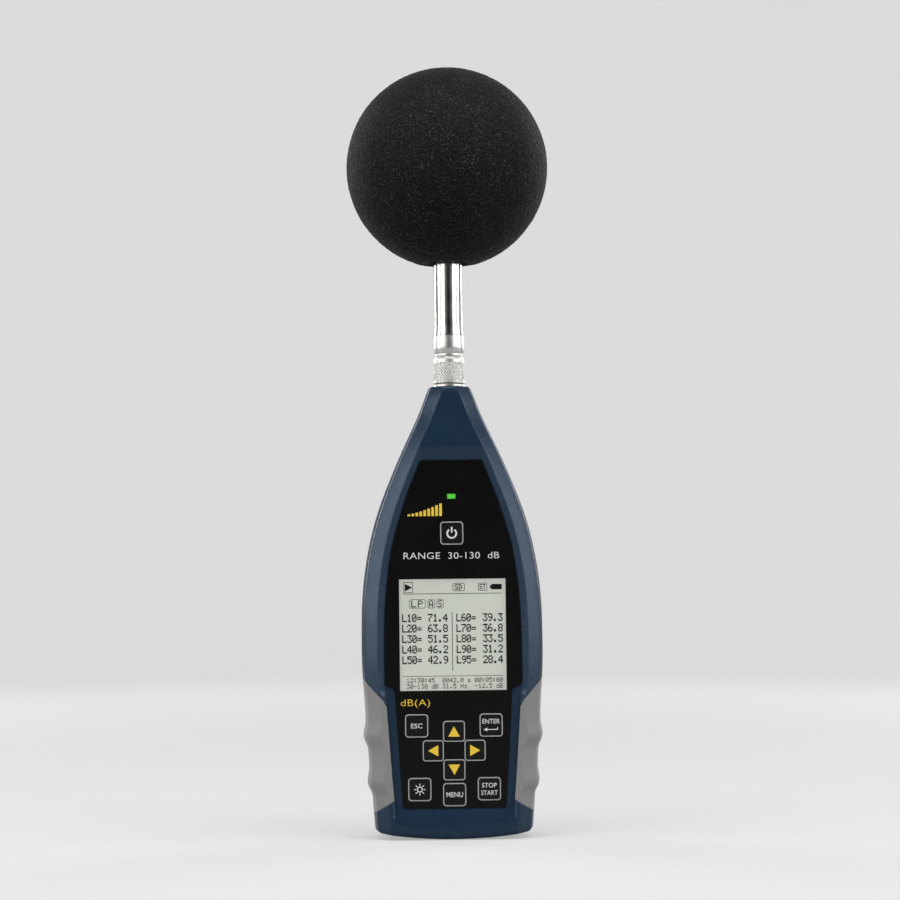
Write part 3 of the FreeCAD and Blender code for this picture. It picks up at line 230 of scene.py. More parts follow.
def turned(name, colour, rough, *, rings=9000.0, grain=0.0, anisotropic=0.35,
           satin_below=None):
    """Metal from a lathe: fine rings round Z, a little haze, brighter edges.
    Below the height satin_below the finish is rougher."""
    shader = Shader(name)
    lathe = shader.noise(1.0, detail=3.0, rough=0.65, at=shader.stretched(40.0, 40.0, rings))
    haze = shader.cloud(160.0, detail=4.0, rough=0.6, low=0.35, high=0.72)
    base = shader.mix(haze, shade(colour, 0.95), shade(colour, 1.025))
    base = shader.mix(shader.remap(lathe, 0.4, 0.62, to_high=0.16), base, shade(colour, 0.72))
    mask, soft = shader.edge_wear_and_highlight(1.6e-4, breakup=2200.0)
    base = shader.mix(shader.maths("MULTIPLY", mask, 0.5), base, (0.95, 0.94, 0.92))
    roughness = shader.remap(haze, 0.0, 1.0, rough * 0.85, rough * 1.35)
    roughness = shader.maths("ADD", roughness, shader.remap(lathe, 0.4, 0.62, to_high=0.05))
    if satin_below:
        satin = shader.remap(shader.split()[2], satin_below - 1e-5, satin_below + 1e-5,
                             to_low=0.16, to_high=0.0)
        roughness = shader.maths("ADD", roughness, satin)
    normal = shader.bump(lathe, 1.2e-6, soft)
    if grain:
        normal = shader.bump(shader.noise(grain, detail=2.0, rough=0.6), 6e-6, normal)
    tangent = shader.add("ShaderNodeTangent", direction_type="RADIAL", axis="Z")
    shader.set(Base_Color=base, Metallic=1.0, Roughness=roughness, Normal=normal,
               Anisotropic=anisotropic, Tangent=tangent.outputs[0])


def sheet_metal(name, colour, rough, *, brush, depth):
    """Pressed and rolled metal: straight rolling marks, stretched by `brush`."""
    shader = Shader(name)
    rolled = shader.noise(1.0, detail=3.0, rough=0.7, at=shader.stretched(*brush))
    haze = shader.cloud(210.0, detail=4.0, rough=0.6, low=0.35, high=0.72)
    base = shader.mix(haze, shade(colour, 0.9), shade(colour, 1.05))
    base = shader.mix(shader.remap(rolled, 0.42, 0.62, to_high=0.25), base, shade(colour, 0.7))
    mask, soft = shader.edge_wear_and_highlight(1.2e-4, breakup=2200.0)
    base = shader.mix(shader.maths("MULTIPLY", mask, 0.5), base, shade(colour, 1.3))
    shader.set(Base_Color=base, Metallic=1.0,
               Roughness=shader.remap(haze, 0.0, 1.0, rough * 0.85, rough * 1.3),
               Normal=shader.bump(rolled, depth, soft))


def ink(name, colour, rough=0.5):
    """Screen print: slightly uneven film thickness."""
    shader = Shader(name)
    film = shader.cloud(2600.0, detail=3.0, rough=0.6, low=0.3, high=0.7)
    base = shader.mix(film, shade(colour, 0.88), colour)
    roughness = shader.cloud(900.0, detail=2.0, rough=0.5, low=0.3, high=0.7,
                             to=(rough - 0.06, rough + 0.08))
    shader.set(Base_Color=base, Roughness=roughness, Normal=shader.bump(film, 2e-6))


# ------------------------------------------------------------------------------------------
# One-off materials
# ------------------------------------------------------------------------------------------
def board_green():
    """Circuit board: green resist over copper, with faint tracks and a plated speckle."""
    shader = Shader("board_green")
    tone = shader.cloud(60.0, detail=4.0, rough=0.6, low=0.3, high=0.7)
    base = shader.mix(tone, (0.012, 0.085, 0.03), (0.02, 0.125, 0.045))
    borders = shader.cells(420.0, "DISTANCE_TO_EDGE", at=shader.stretched(1.0, 0.2, 1.0))
    track = shader.remap(borders, 0.03, 0.07, to_low=1.0, to_high=0.0)
    base = shader.mix(shader.maths("MULTIPLY", track, 0.45), base, (0.05, 0.21, 0.07))
    plated = shader.remap(shader.cells(330.0), 0.10, 0.13, to_low=1.0, to_high=0.0)
    base = shader.mix(plated, base, (0.55, 0.47, 0.24))
    mask, soft = shader.edge_wear_and_highlight(8e-5, breakup=3000.0)
    base = shader.mix(mask, base, (0.35, 0.33, 0.2))
    shader.set(Base_Color=base, Roughness=shader.remap(tone, 0.0, 1.0, 0.26, 0.36),
               Normal=shader.bump(track, 1.2e-5, soft))


def cell_sleeve():
    """Cells: dark sleeve with a copper band near the top, bare steel at both ends."""
    shader = Shader("cell_sleeve")
    z = shader.split()[2]
    low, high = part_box("batteries")
    middle = (low.z + high.z) / 2
    from_middle = shader.maths("ABSOLUTE", shader.maths("SUBTRACT", z, middle))
    bare = shader.remap(from_middle, 0.02335, 0.02345)
    band = shader.maths("MULTIPLY", shader.remap(z, middle + 0.0098, middle + 0.0099),
                        shader.maths("SUBTRACT", 1.0, bare))
    scuffed = shader.cloud(700.0, detail=4.0, rough=0.7, low=0.35, high=0.75)
    sleeve = shader.mix(scuffed, (0.016, 0.017, 0.02), (0.03, 0.031, 0.035))
    copper = shader.mix(scuffed, (0.50, 0.20, 0.06), (0.56, 0.25, 0.09))
    base = shader.mix(band, sleeve, copper)
    base = shader.mix(bare, base, (0.66, 0.66, 0.65))
    metal = shader.maths("ADD", bare, band, clamp=True)
    shader.set(Base_Color=base, Metallic=shader.maths("MULTIPLY", metal, 0.9),
               Roughness=shader.remap(scuffed, 0.0, 1.0, 0.24, 0.36),
               Normal=shader.bump(scuffed, 4e-6, shader.bevel(1.5e-4)))


def lcd_face():
    """Display: pale green grey, with the fine grid between its dots. It glows, partly as a
    backlight and partly as painted light that keeps the recessed face evenly bright.
    """
    dot_pitch = 0.000293
    shader = Shader("lcd_face")
    x, _, z = shader.split()
    grid = [shader.remap(shader.maths("FRACT", shader.maths("DIVIDE", axis, dot_pitch)),
                         0.86, 0.93) for axis in (x, z)]
    line = shader.maths("MAXIMUM", *grid)
    tone = shader.cloud(26.0, detail=3.0, rough=0.5, low=0.3, high=0.7)
    face = shader.mix(tone, (0.590, 0.598, 0.552), (0.635, 0.643, 0.598))
    face = shader.mix(shader.maths("MULTIPLY", line, 0.22), face, (0.50, 0.51, 0.47))
    # The emission is partly a backlight and partly painted light against the shade of the
    # recess.
    shader.set(Base_Color=face, Roughness=0.34, Normal=shader.bump(line, 1.5e-6),
               Emission_Color=face, Emission_Strength=0.56)


def lens_green():
    """Small green lamp under a clear lens."""
    shader = Shader("lens_green")
    glow = shader.cloud(900.0, detail=2.0, rough=0.5, low=0.3, high=0.7)
    hue = shader.mix(glow, (0.045, 0.40, 0.025), (0.10, 0.56, 0.055))
    shader.set(Base_Color=hue, Roughness=0.18, Emission_Color=hue, Emission_Strength=0.42,
               Normal=shader.bump(glow, 4e-6, shader.bevel(2.5e-4)))


def window_clear():
    """Clear acrylic: the display shows through, under a reflection with a few hairlines."""
    shader = Shader("window_clear")
    shader.tree.nodes.remove(shader.bsdf)
    clear = shader.add("ShaderNodeBsdfTransparent")
    shader.put(clear.inputs[0], (0.975, 0.985, 0.975))
    gloss = shader.add("ShaderNodeBsdfGlossy")
    hairlines = shader.noise(1.0, detail=4.0, rough=0.8,
                             at=shader.stretched(900.0, 900.0, 90.0))
    shader.put(gloss.inputs["Roughness"], shader.remap(hairlines, 0.3, 0.8, 0.05, 0.12))
    shader.put(gloss.inputs["Normal"], shader.bump(shader.noise(120.0), 2.0e-6))
    shader.put(gloss.inputs["Color"], (0.9, 0.93, 0.95))
    fresnel = shader.add("ShaderNodeFresnel")
    fresnel.inputs["IOR"].default_value = 1.34
    both = shader.add("ShaderNodeMixShader")
    shader.put(both.inputs[0], shader.maths("MULTIPLY", fresnel.outputs[0], 0.8))
    shader.put(both.inputs[1], clear.outputs[0])
    shader.put(both.inputs[2], gloss.outputs[0])
    shader.put(shader.out.inputs[0], both.outputs[0])


def foam_black():
    """Open-cell foam: near black, matt, with pores darkened as painted shade, and the odd strut
    and speck lightened as a painted highlight.
    """
    shader = Shader("foam_black")
    pores = shader.maths("MULTIPLY", shader.cells(820.0, "SMOOTH_F1"), 0.7)
    small_pores = shader.maths("MULTIPLY", shader.cells(1700.0), 0.4)
    relief = shader.maths("ADD", pores, small_pores)
    speck_highlight = shader.cloud(1500.0, detail=1.0, rough=0.5, low=0.60, high=0.70)
    strut_highlight = shader.cloud(1900.0, detail=2.0, rough=0.6, low=0.53, high=0.68)
    clump = shader.cloud(170.0, detail=3.0, rough=0.6, low=0.35, high=0.65, to=(0.40, 1.0))
    tone = shader.cloud(45.0, detail=3.0, rough=0.5, low=0.3, high=0.7)
    base = shader.mix(tone, (0.0030, 0.0030, 0.0031), (0.0050, 0.0050, 0.0051))
    # Pores darker: painted shade in the hollows.
    base = shader.mix(shader.remap(relief, 0.25, 0.75), (0.0014, 0.0014, 0.0015), base)
    # Struts and specks lighter: painted highlights where light catches the foam.
    for spots, strength, colour in ((strut_highlight, 0.65, (0.029, 0.029, 0.030)),
                                    (speck_highlight, 0.85, (0.075, 0.075, 0.077))):
        amount = shader.maths("MULTIPLY", spots, shader.maths("MULTIPLY", clump, strength))
        base = shader.mix(amount, base, colour)
    shader.set(Base_Color=base, Roughness=shader.remap(strut_highlight, 0.0, 1.0, 0.86, 0.5),
               Normal=shader.bump(relief, 3.2e-4), Specular_IOR_Level=0.2,
               Sheen_Weight=0.09, Sheen_Roughness=0.22)


def make_materials():
    # The lighter edge colours below are partly wear and partly painted highlights along the
    # edges.
    moulded("housing_blue", (0.0112, 0.0290, 0.0580), 0.28, grain=3400.0, depth=4.0e-6,
            vary=0.045, patch=38.0, edge=6.5e-4, edge_wear_and_highlight_colour=(0.15, 0.195, 0.265),
            edge_rough=0.24, tint=(0.66, 0.82, 1.0))
    moulded("grip_grey", (0.262, 0.258, 0.256), 0.72, grain=5200.0, depth=1.4e-5,
            vary=0.045, patch=30.0, edge=8.0e-4, edge_wear_and_highlight_colour=(0.30, 0.295, 0.29),
            edge_rough=0.6, specular=0.32, sheen=0.12, dust=0.05)
    moulded("panel_black", (0.0040, 0.0037, 0.0037), 0.27, grain=7000.0, depth=1.2e-6,
            vary=0.12, patch=45.0, edge=1.8e-4, edge_wear_and_highlight_colour=(0.05, 0.05, 0.055),
            edge_rough=0.2, specular=0.22)
    moulded("key_black", (0.0056, 0.0054, 0.0056), 0.36, grain=6200.0, depth=2.2e-6,
            vary=0.15, patch=160.0, edge=2.4e-4, edge_wear_and_highlight_colour=(0.05, 0.05, 0.055),
            edge_rough=0.24, specular=0.30)
    moulded("screw_black", (0.012, 0.012, 0.013), 0.34, grain=6500.0, depth=2.5e-6,
            edge=1.5e-4, edge_wear_and_highlight_colour=(0.28, 0.28, 0.29))
    moulded("chip_black", (0.014, 0.014, 0.015), 0.55, grain=8000.0, depth=2.5e-6,
            edge=8e-5, edge_wear_and_highlight_colour=(0.08, 0.08, 0.08))
    moulded("socket_black", (0.010, 0.010, 0.011), 0.42, grain=6000.0, depth=2.5e-6,
            edge=1.5e-4, edge_wear_and_highlight_colour=(0.07, 0.07, 0.07), dust=0.03)
    moulded("white_plastic", (0.72, 0.71, 0.67), 0.42, grain=6000.0, depth=2.0e-6,
            vary=0.03, edge=1.5e-4, edge_wear_and_highlight_colour=(0.8, 0.8, 0.78), dust=0.02)
    moulded("ribbon_film", (0.30, 0.12, 0.02), 0.22, grain=9000.0, depth=1.0e-6, edge=6e-5)

    nickel = (0.80, 0.785, 0.755)
    turned("nickel", nickel, 0.15, satin_below=0.2230)
    turned("nickel_satin", nickel, 0.40, rings=5000.0, grain=9000.0, anisotropic=0.0)
    turned("bright_steel", (0.72, 0.72, 0.71), 0.16, rings=3000.0, anisotropic=0.0)
    turned("screw_steel", (0.58, 0.58, 0.59), 0.26, rings=2500.0, anisotropic=0.0)
    turned("gold_contact", (0.93, 0.66, 0.24), 0.16)
    turned("brass_plain", (0.68, 0.46, 0.17), 0.27)
    turned("foil", (0.80, 0.80, 0.82), 0.14, rings=400.0, anisotropic=0.0)
    sheet_metal("spring_steel", (0.60, 0.60, 0.59), 0.28, brush=(30.0, 30.0, 4200.0),
                depth=2.0e-6)
    sheet_metal("label_silver", (0.62, 0.62, 0.62), 0.34, brush=(1800.0, 30.0, 30.0),
                depth=1.2e-6)

    board_green()
    cell_sleeve()
    lcd_face()
    lens_green()
    window_clear()
    foam_black()

    ink("ink_white", (0.86, 0.86, 0.86))
    ink("ink_grey", (0.50, 0.50, 0.51))
    ink("ink_amber", (1.0, 0.68, 0.055))
    ink("ink_dark", (0.05, 0.05, 0.055))
    ink("lcd_dark", (0.010, 0.011, 0.010), rough=0.4)
    ink("lcd_mid", (0.034, 0.037, 0.033), rough=0.4)


make_materials()


# ------------------------------------------------------------------------------------------
# CAD pieces: materials, and smooth shading that keeps real edges
# ------------------------------------------------------------------------------------------
def softening(degrees):
    """Node group: welds the mesh, then shades it smooth except at edges over the angle."""
    group = bpy.data.node_groups.new("soften_%d" % degrees, "GeometryNodeTree")
    for direction in ("INPUT", "OUTPUT"):
        group.interface.new_socket("Geometry", in_out=direction,
                                   socket_type="NodeSocketGeometry")
    add, link = group.nodes.new, group.links.new
    start = add("NodeGroupInput")
    finish = add("NodeGroupOutput")
    weld = add("GeometryNodeMergeByDistance")
    weld.inputs["Distance"].default_value = 2e-7
    edge = add("GeometryNodeInputMeshEdgeAngle")
    sharp = add("FunctionNodeCompare")
    sharp.data_type = "FLOAT"
    sharp.operation = "GREATER_THAN"
    sharp.inputs[1].default_value = math.radians(degrees)
    smooth = add("GeometryNodeSetShadeSmooth")
    smooth.domain = "FACE"
    crisp = add("GeometryNodeSetShadeSmooth")
    crisp.domain = "EDGE"
    crisp.inputs["Shade Smooth"].default_value = False
    link(start.outputs[0], weld.inputs["Geometry"])
    link(weld.outputs[0], smooth.inputs["Geometry"])
    link(smooth.outputs[0], crisp.inputs["Geometry"])
    link(edge.outputs["Unsigned Angle"], sharp.inputs[0])
    link(sharp.outputs[0], crisp.inputs["Selection"])
    link(crisp.outputs[0], finish.inputs[0])
    return group


def dress(node, slot, soften_group):
    """Gives a CAD piece its material and fresh normals."""
    node.data.materials.clear()
    node.data.materials.append(MATERIALS[slot])
    imported_normals = node.data.attributes.get("custom_normal")
    if imported_normals is not None:
        node.data.attributes.remove(imported_normals)
    soften = node.modifiers.new("soften", "NODES")
    soften.node_group = soften_group
    weighted = node.modifiers.new("weighted", "WEIGHTED_NORMAL")
    weighted.keep_sharp = True
    weighted.weight = 50
    weighted.mode = "FACE_AREA"


SOFTEN = softening(26)
slot_of = {part["node"]: part["material_slot"] for part in frame["record"]["subparts"]}
for node_name, node in frame["nodes"].items():
    dress(node, slot_of[node_name], SOFTEN)


# ------------------------------------------------------------------------------------------
# Mesh helpers
# ------------------------------------------------------------------------------------------
def place(name, mesh, material, body):
    """Puts a mesh in the scene, riding on a body."""
    item = bpy.data.objects.new(name, mesh)
    COLLECTION.objects.link(item)
    mesh.materials.append(MATERIALS[material])
    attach(item, body)
    return item


def piece(name, verts, faces, material, body, smooth=False, angle=None):
    """A mesh from points in metres; edges over `angle` degrees stay sharp."""
    mesh = bpy.data.meshes.new(name)
    mesh.from_pydata([tuple(vert) for vert in verts], [], faces)
    mesh.validate()
    if smooth:
        mesh.shade_smooth()
        if angle:
            mesh.set_sharp_from_angle(angle=math.radians(angle))
    return place(name, mesh, material, body)


def circle(radius, height, sides, start=0.0):
    """Points round the Z axis."""
    angles = [2 * math.pi * j / sides + start for j in range(sides)]
    return [(radius * math.cos(a), radius * math.sin(a), height) for a in angles]


def hoop_faces(rows, sides, first=0):
    """Faces of a closed profile of `rows` points carried round a circle of `sides` steps."""
    faces = []
    for i in range(rows):
        here = first + i * sides
        there = first + (i + 1) % rows * sides
        for j in range(sides):
            k = (j + 1) % sides
            faces.append((here + j, here + k, there + k, there + j))
    return faces


def rounded(x0, x1, z0, z1, radius):
    """Rounded box outline, anticlockwise as seen from the front."""
    steps = 6
    corners = ((x1 - radius, z0 + radius, -90), (x1 - radius, z1 - radius, 0),
               (x0 + radius, z1 - radius, 90), (x0 + radius, z0 + radius, 180))
    points = []
    for x, z, start in corners:
        for i in range(steps + 1):
            angle = math.radians(start + 90 * i / steps)
            points.append((x + radius * math.cos(angle), z + radius * math.sin(angle)))
    return points


class Sheet:
    """A flat print: closed thin solids between two depths, drawn in X and Z, in mm."""

    def __init__(self, face, back):
        self.depths = (face * MM, back * MM)
        self.verts, self.faces = [], []

    def prism(self, outline):
        """A filled outline; it is put anticlockwise with X right and Z up."""
        area = sum(a[0] * b[1] - b[0] * a[1]
                   for a, b in zip(outline, outline[1:] + outline[:1]))
        if area < 0:
            outline = outline[::-1]
        first, count = len(self.verts), len(outline)
        for y in self.depths:
            self.verts += [(x * MM, y, z * MM) for x, z in outline]
        self.faces.append(tuple(range(first, first + count)))
        self.faces.append(tuple(range(first + 2 * count - 1, first + count - 1, -1)))
        for i in range(count):
            a, b = first + i, first + (i + 1) % count
            self.faces.append((a, a + count, b + count, b))

    def rect(self, x0, x1, z0, z1):
        self.prism([(x0, z0), (x1, z0), (x1, z1), (x0, z1)])

    def band(self, outer, inner, closed=True):
        """A ribbon between two lists of the same length, both anticlockwise."""
        first, count = len(self.verts), len(outer)
        for y in self.depths:
            self.verts += [(x * MM, y, z * MM) for x, z in outer + inner]
        # Where each run of points starts: outer and inner at the face, then at the back.
        out0, in0, out1, in1 = (first + count * run for run in range(4))
        for i in range(count if closed else count - 1):
            j = (i + 1) % count
            self.faces += [(out0 + i, out0 + j, in0 + j, in0 + i),
                           (out1 + i, in1 + i, in1 + j, out1 + j),
                           (out0 + i, out1 + i, out1 + j, out0 + j),
                           (in0 + i, in0 + j, in1 + j, in1 + i)]
        if not closed:
            last = count - 1
            self.faces += [(out0, in0, in1, out1),
                           (out0 + last, out1 + last, in1 + last, in0 + last)]

    def frame(self, x0, x1, z0, z1, radius, width):
        """A rounded outline whose line is centred on the given box."""
        half = width / 2
        self.band(rounded(x0 - half, x1 + half, z0 - half, z1 + half, radius + half),
                  rounded(x0 + half, x1 - half, z0 + half, z1 - half,
                          max(radius - half, 0.05)))

    def arc(self, x, z, inner, outer, start, end, steps):
        """Part of a ring from start to end, in degrees; 360 closes it."""
        closed = abs(end - start) >= 360
        angles = [math.radians(start + (end - start) * i / steps)
                  for i in range(steps + (0 if closed else 1))]
        rims = [[(x + r * math.cos(a), z + r * math.sin(a)) for a in angles]
                for r in (outer, inner)]
        self.band(*rims, closed=closed)

    def stroke(self, x0, z0, x1, z1, width):
        dx, dz = x1 - x0, z1 - z0
        length = math.hypot(dx, dz)
        side_x, side_z = -dz / length * width / 2, dx / length * width / 2
        self.prism([(x0 - side_x, z0 - side_z), (x1 - side_x, z1 - side_z),
                    (x1 + side_x, z1 + side_z), (x0 + side_x, z0 + side_z)])

    def done(self, name, material, body, slot):
        return piece(name, self.verts, self.faces, material, body)


def lettering(name, text, box, depths, material, body, weight, spacing):
    """Text as a thin closed solid. It fills box (x0, x1, z0, z1) between depths (face, back),
    all in mm, and reads from the front."""
    curve = bpy.data.curves.new(name, "FONT")
    curve.body = text
    curve.size = 1.0
    curve.extrude = 0.5
    curve.resolution_u = 4
    curve.offset = weight
    curve.space_character = spacing
    holder = bpy.data.objects.new(name + "_curve", curve)
    COLLECTION.objects.link(holder)
    evaluated = holder.evaluated_get(bpy.context.evaluated_depsgraph_get())
    raw = bpy.data.meshes.new_from_object(evaluated)
    points = np.array([vert.co for vert in raw.vertices], float)
    faces = [tuple(polygon.vertices) for polygon in raw.polygons]
    bpy.data.objects.remove(holder)
    bpy.data.curves.remove(curve)

    low, high = points.min(0), points.max(0)
    share = (points - low) / (high - low)
    x0, x1, z0, z1 = box
    face, back = depths
    fitted = np.empty_like(points)
    fitted[:, 0] = x0 + share[:, 0] * (x1 - x0)
    fitted[:, 1] = back + share[:, 2] * (face - back)
    fitted[:, 2] = z0 + share[:, 1] * (z1 - z0)

    solid = bmesh.new()
    verts = [solid.verts.new(point) for point in fitted * MM]
    for corners in faces:
        if len(set(corners)) > 2:
            # Guards against a face that the text outline gives twice.
            try:
                solid.faces.new([verts[i] for i in corners])
            except ValueError:
                pass
    bmesh.ops.remove_doubles(solid, verts=solid.verts, dist=1e-6)
    bmesh.ops.recalc_face_normals(solid, faces=solid.faces)
    mesh = bpy.data.meshes.new(name)
    solid.to_mesh(mesh)
    solid.free()
    return place(name, mesh, material, body)


# ------------------------------------------------------------------------------------------
# Printing on the front panel
# ------------------------------------------------------------------------------------------
KEYS = ("power", "escape", "enter", "up", "left", "right", "down", "light", "menu",
        "start_stop")
FRAMED_KEYS = ("power", "escape", "enter", "light", "menu", "start_stop")
KEY_FRAME_HALF = 4.86
# Outlines round the arrow keys, up, down, left and right: x0, x1, z0, z1.
ARROW_FRAMES = ((-4.62, 4.62, 42.98, 51.72), (-4.62, 4.62, 26.08, 34.82),
                (-13.62, -4.78, 34.5, 43.3), (4.78, 13.62, 34.5, 43.3))


def key_place(key):
    """Centre x, centre z and front face y of a key, in mm."""
    low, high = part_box("key_" + key)
    return (low.x + high.x) / 2 / MM, (low.z + high.z) / 2 / MM, low.y / MM


def panel_outlines(depths):
    lines = Sheet(*depths)
    for key in FRAMED_KEYS:
        x, z, _ = KEY_AT[key]
        lines.frame(x - KEY_FRAME_HALF, x + KEY_FRAME_HALF, z - KEY_FRAME_HALF,
                    z + KEY_FRAME_HALF, radius=1.25, width=0.44)
    for box in ARROW_FRAMES:
        lines.frame(*box, radius=1.1, width=0.42)
    lines.done("panel_outlines", "ink_grey", "meter", "panel_black")


def panel_words(depths):
    # name, text, box, ink, weight
    words = (
        ("panel_title", "RANGE  30-130  dB", (-21.4, 20.9, 123.25, 126.15), "ink_white", -0.004),
        ("panel_weighting", "dB(A)", (-23.3, -10.4, 57.7, 61.6), "ink_amber", -0.008),
    )
    for name, text, box, colour, weight in words:
        lettering(name, text, box, depths, colour, "meter", weight, spacing=1.05)


def panel_level_bars(depths):
    """Nine bars that grow to the right."""
    count, left, foot = 9, -19.4, 142.2
    pitch, width = 1.75, 1.15
    shortest, growth = 0.9, 4.6
    bars = Sheet(*depths)
    for i in range(count):
        x = left + i * pitch
        top = foot + shortest + growth * (i / (count - 1)) ** 1.4
        bars.rect(x, x + width, foot, top)
    bars.done("panel_level_bars", "ink_amber", "meter", "panel_black")


panel_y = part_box("front_panel")[0].y / MM
panel_depths = (panel_y - 0.022, panel_y + 0.03)
KEY_AT = {key: key_place(key) for key in KEYS}
panel_outlines(panel_depths)
panel_words(panel_depths)
panel_level_bars(panel_depths)

# ------------------------------------------------------------------------------------------
# Legends on the keys: each rides on its own key
# ------------------------------------------------------------------------------------------
# Triangle corners from the key's centre: x, z.
ARROWS = {
    "up": ((-2.55, -2.3), (2.55, -2.3), (0.0, 2.3)),
    "down": ((-2.55, 2.3), (0.0, -2.3), (2.55, 2.3)),
    "left": ((-2.3, 0.0), (2.2, -2.5), (2.2, 2.5)),
    "right": ((2.3, 0.0), (-2.2, 2.5), (-2.2, -2.5)),
}
# name, key, text, width, bottom and top from the key's centre
KEY_WORDS = (
    ("legend_escape", "escape", "ESC", 5.0, -1.1, 1.05),
    ("legend_enter", "enter", "ENTER", 7.7, 0.65, 2.7),
    ("legend_menu", "menu", "MENU", 7.3, -1.1, 1.1),
    ("legend_stop", "start_stop", "STOP", 6.5, 0.5, 2.55),
    ("legend_start", "start_stop", "START", 7.3, -2.75, -0.7),
)


def key_depths(key):
    y = KEY_AT[key][2]
    return y - 0.018, y + 0.03


def start_legend(key):
    """An empty print on a key, and the key's centre."""
    x, z, _ = KEY_AT[key]
    return Sheet(*key_depths(key)), x, z


def legend_power():
    """A ring open at the top, with an upright bar."""
    sheet, x, z = start_legend("power")
    sheet.arc(x, z - 0.15, inner=1.62, outer=2.36, start=90 + 36, end=90 + 324, steps=44)
    sheet.rect(x - 0.36, x + 0.36, z + 0.2, z + 2.75)
    sheet.done("legend_power", "ink_white", "button_power", "key_black")


def legend_arrows():
    for key, corners in ARROWS.items():
        sheet, x, z = start_legend(key)
        sheet.prism([(x + dx, z + dz) for dx, dz in corners])
        sheet.done("legend_" + key, "ink_amber", "button_" + key, "key_black")


def legend_light():
    """A ring with eight rays."""
    rays, ray_from, ray_to = 8, 1.62, 2.55
    sheet, x, z = start_legend("light")
    sheet.arc(x, z, inner=0.85, outer=1.30, start=0, end=360, steps=40)
    for i in range(rays):
        angle = math.radians(360 / rays * i)
        across, up = math.cos(angle), math.sin(angle)
        sheet.stroke(x + ray_from * across, z + ray_from * up,
                     x + ray_to * across, z + ray_to * up, width=0.40)
    sheet.done("legend_light", "ink_white", "button_light", "key_black")


def legend_enter_arrow():
    """A line with its right end turned up and an arrow head at the left."""
    sheet, x, z = start_legend("enter")
    sheet.rect(x - 1.9, x + 3.0, z - 2.12, z - 1.76)
    sheet.rect(x + 2.64, x + 3.0, z - 1.76, z - 0.95)
    sheet.prism([(x - 3.4, z - 1.94), (x - 1.7, z - 2.75), (x - 1.7, z - 1.13)])
    sheet.done("legend_enter_arrow", "ink_white", "button_enter", "key_black")


def legend_words():
    for name, key, text, width, bottom, top in KEY_WORDS:
        x, z, _ = KEY_AT[key]
        box = (x - width / 2, x + width / 2, z + bottom, z + top)
        lettering(name, text, box, key_depths(key), "ink_white", "button_" + key,
                  weight=0.008, spacing=1.04)


legend_power()
legend_arrows()
legend_light()
legend_enter_arrow()
legend_words()

# ------------------------------------------------------------------------------------------
# What the display shows: dot-matrix characters, each dot a thin solid
# ------------------------------------------------------------------------------------------
# Five columns of two hex digits, from the left; the lowest bit is the top dot of seven.
GLYPHS = {
    "0": "3E5149453E", "1": "00427F4000", "2": "4261514946", "3": "2141454B31",
    "4": "1814127F10", "5": "2745454539", "6": "3C4A494930", "7": "0171090503",
    "8": "3649494936", "9": "064949291E", "A": "7E1111117E", "B": "7F49494936",
    "D": "7F4141221C", "H": "7F0808087F", "L": "7F40404040", "P": "7F09090906",
    "S": "4649494931", "T": "01017F0101", "=": "1414141414", "-": "0808080808",
    ".": "0060600000", ":": "0036360000", "d": "384444487F", "s": "4854545420",
    "z": "4464544C44",
}
# Each row: label and value of the left column, then of the right column.
READINGS = (
    (("L10", "71.4"), ("L60", "39.3")),
    (("L20", "63.8"), ("L70", "36.8")),
    (("L30", "51.5"), ("L80", "33.5")),
    (("L40", "46.2"), ("L90", "31.2")),
    (("L50", "42.9"), ("L95", "28.4")),
)
READING_COLUMNS = ((-22.3, -10.9), (1.7, 13.35))  # left of the label, left of the value
READING_TOP, READING_PITCH = 99.0, 4.64
LABEL_TYPE = dict(cell_x=0.385, cell_z=0.485, pitch=2.20)
EQUALS_TYPE = dict(cell_x=0.36, cell_z=0.42, pitch=2.0, overlap=0.10)
VALUE_TYPE = dict(cell_x=0.40, cell_z=0.485, pitch=2.24)
FOOT_TYPE = dict(cell_x=0.262, cell_z=0.29, pitch=1.585, overlap=0.02)
# Boxed settings: x0, x1, text, left of the text, dot width.
SETTINGS = ((-19.0, -12.0, "LP", -18.2, 0.41), (-10.9, -8.0, "A", -10.35, 0.345),
            (-6.9, -4.0, "S", -6.35, 0.345))


def matrix_text(sheet, text, left, top, cell_x, cell_z, pitch, overlap=0.13):
    """Dots of cell_x by cell_z that overlap their neighbours; a character every pitch."""
    half = overlap / 2
    for n, char in enumerate(text):
        if char not in GLYPHS:
            left += pitch
            continue
        for col in range(5):
            bits = int(GLYPHS[char][2 * col:2 * col + 2], 16)
            for row in range(7):
                if bits >> row & 1:
                    x, z = left + col * cell_x, top - row * cell_z
                    sheet.rect(x - half, x + cell_x + half, z - cell_z - half, z + half)
        left += pitch


def readings(dots):
    for i, row in enumerate(READINGS):
        top = READING_TOP - READING_PITCH * i
        for (label, value), (label_x, value_x) in zip(row, READING_COLUMNS):
            equals_x = label_x + LABEL_TYPE["pitch"] * 3 + 0.1
            matrix_text(dots, label, label_x, top, **LABEL_TYPE)
            matrix_text(dots, "=", equals_x, top - 0.42, **EQUALS_TYPE)
            matrix_text(dots, value, value_x, top, **VALUE_TYPE)


def rules(dots, faint):
    dots.rect(-0.35, -0.05, 73.9, 99.9)
    dots.rect(-21.9, 21.6, 107.75, 108.02)
    faint.rect(-21.9, 22.2, 71.45, 71.68)


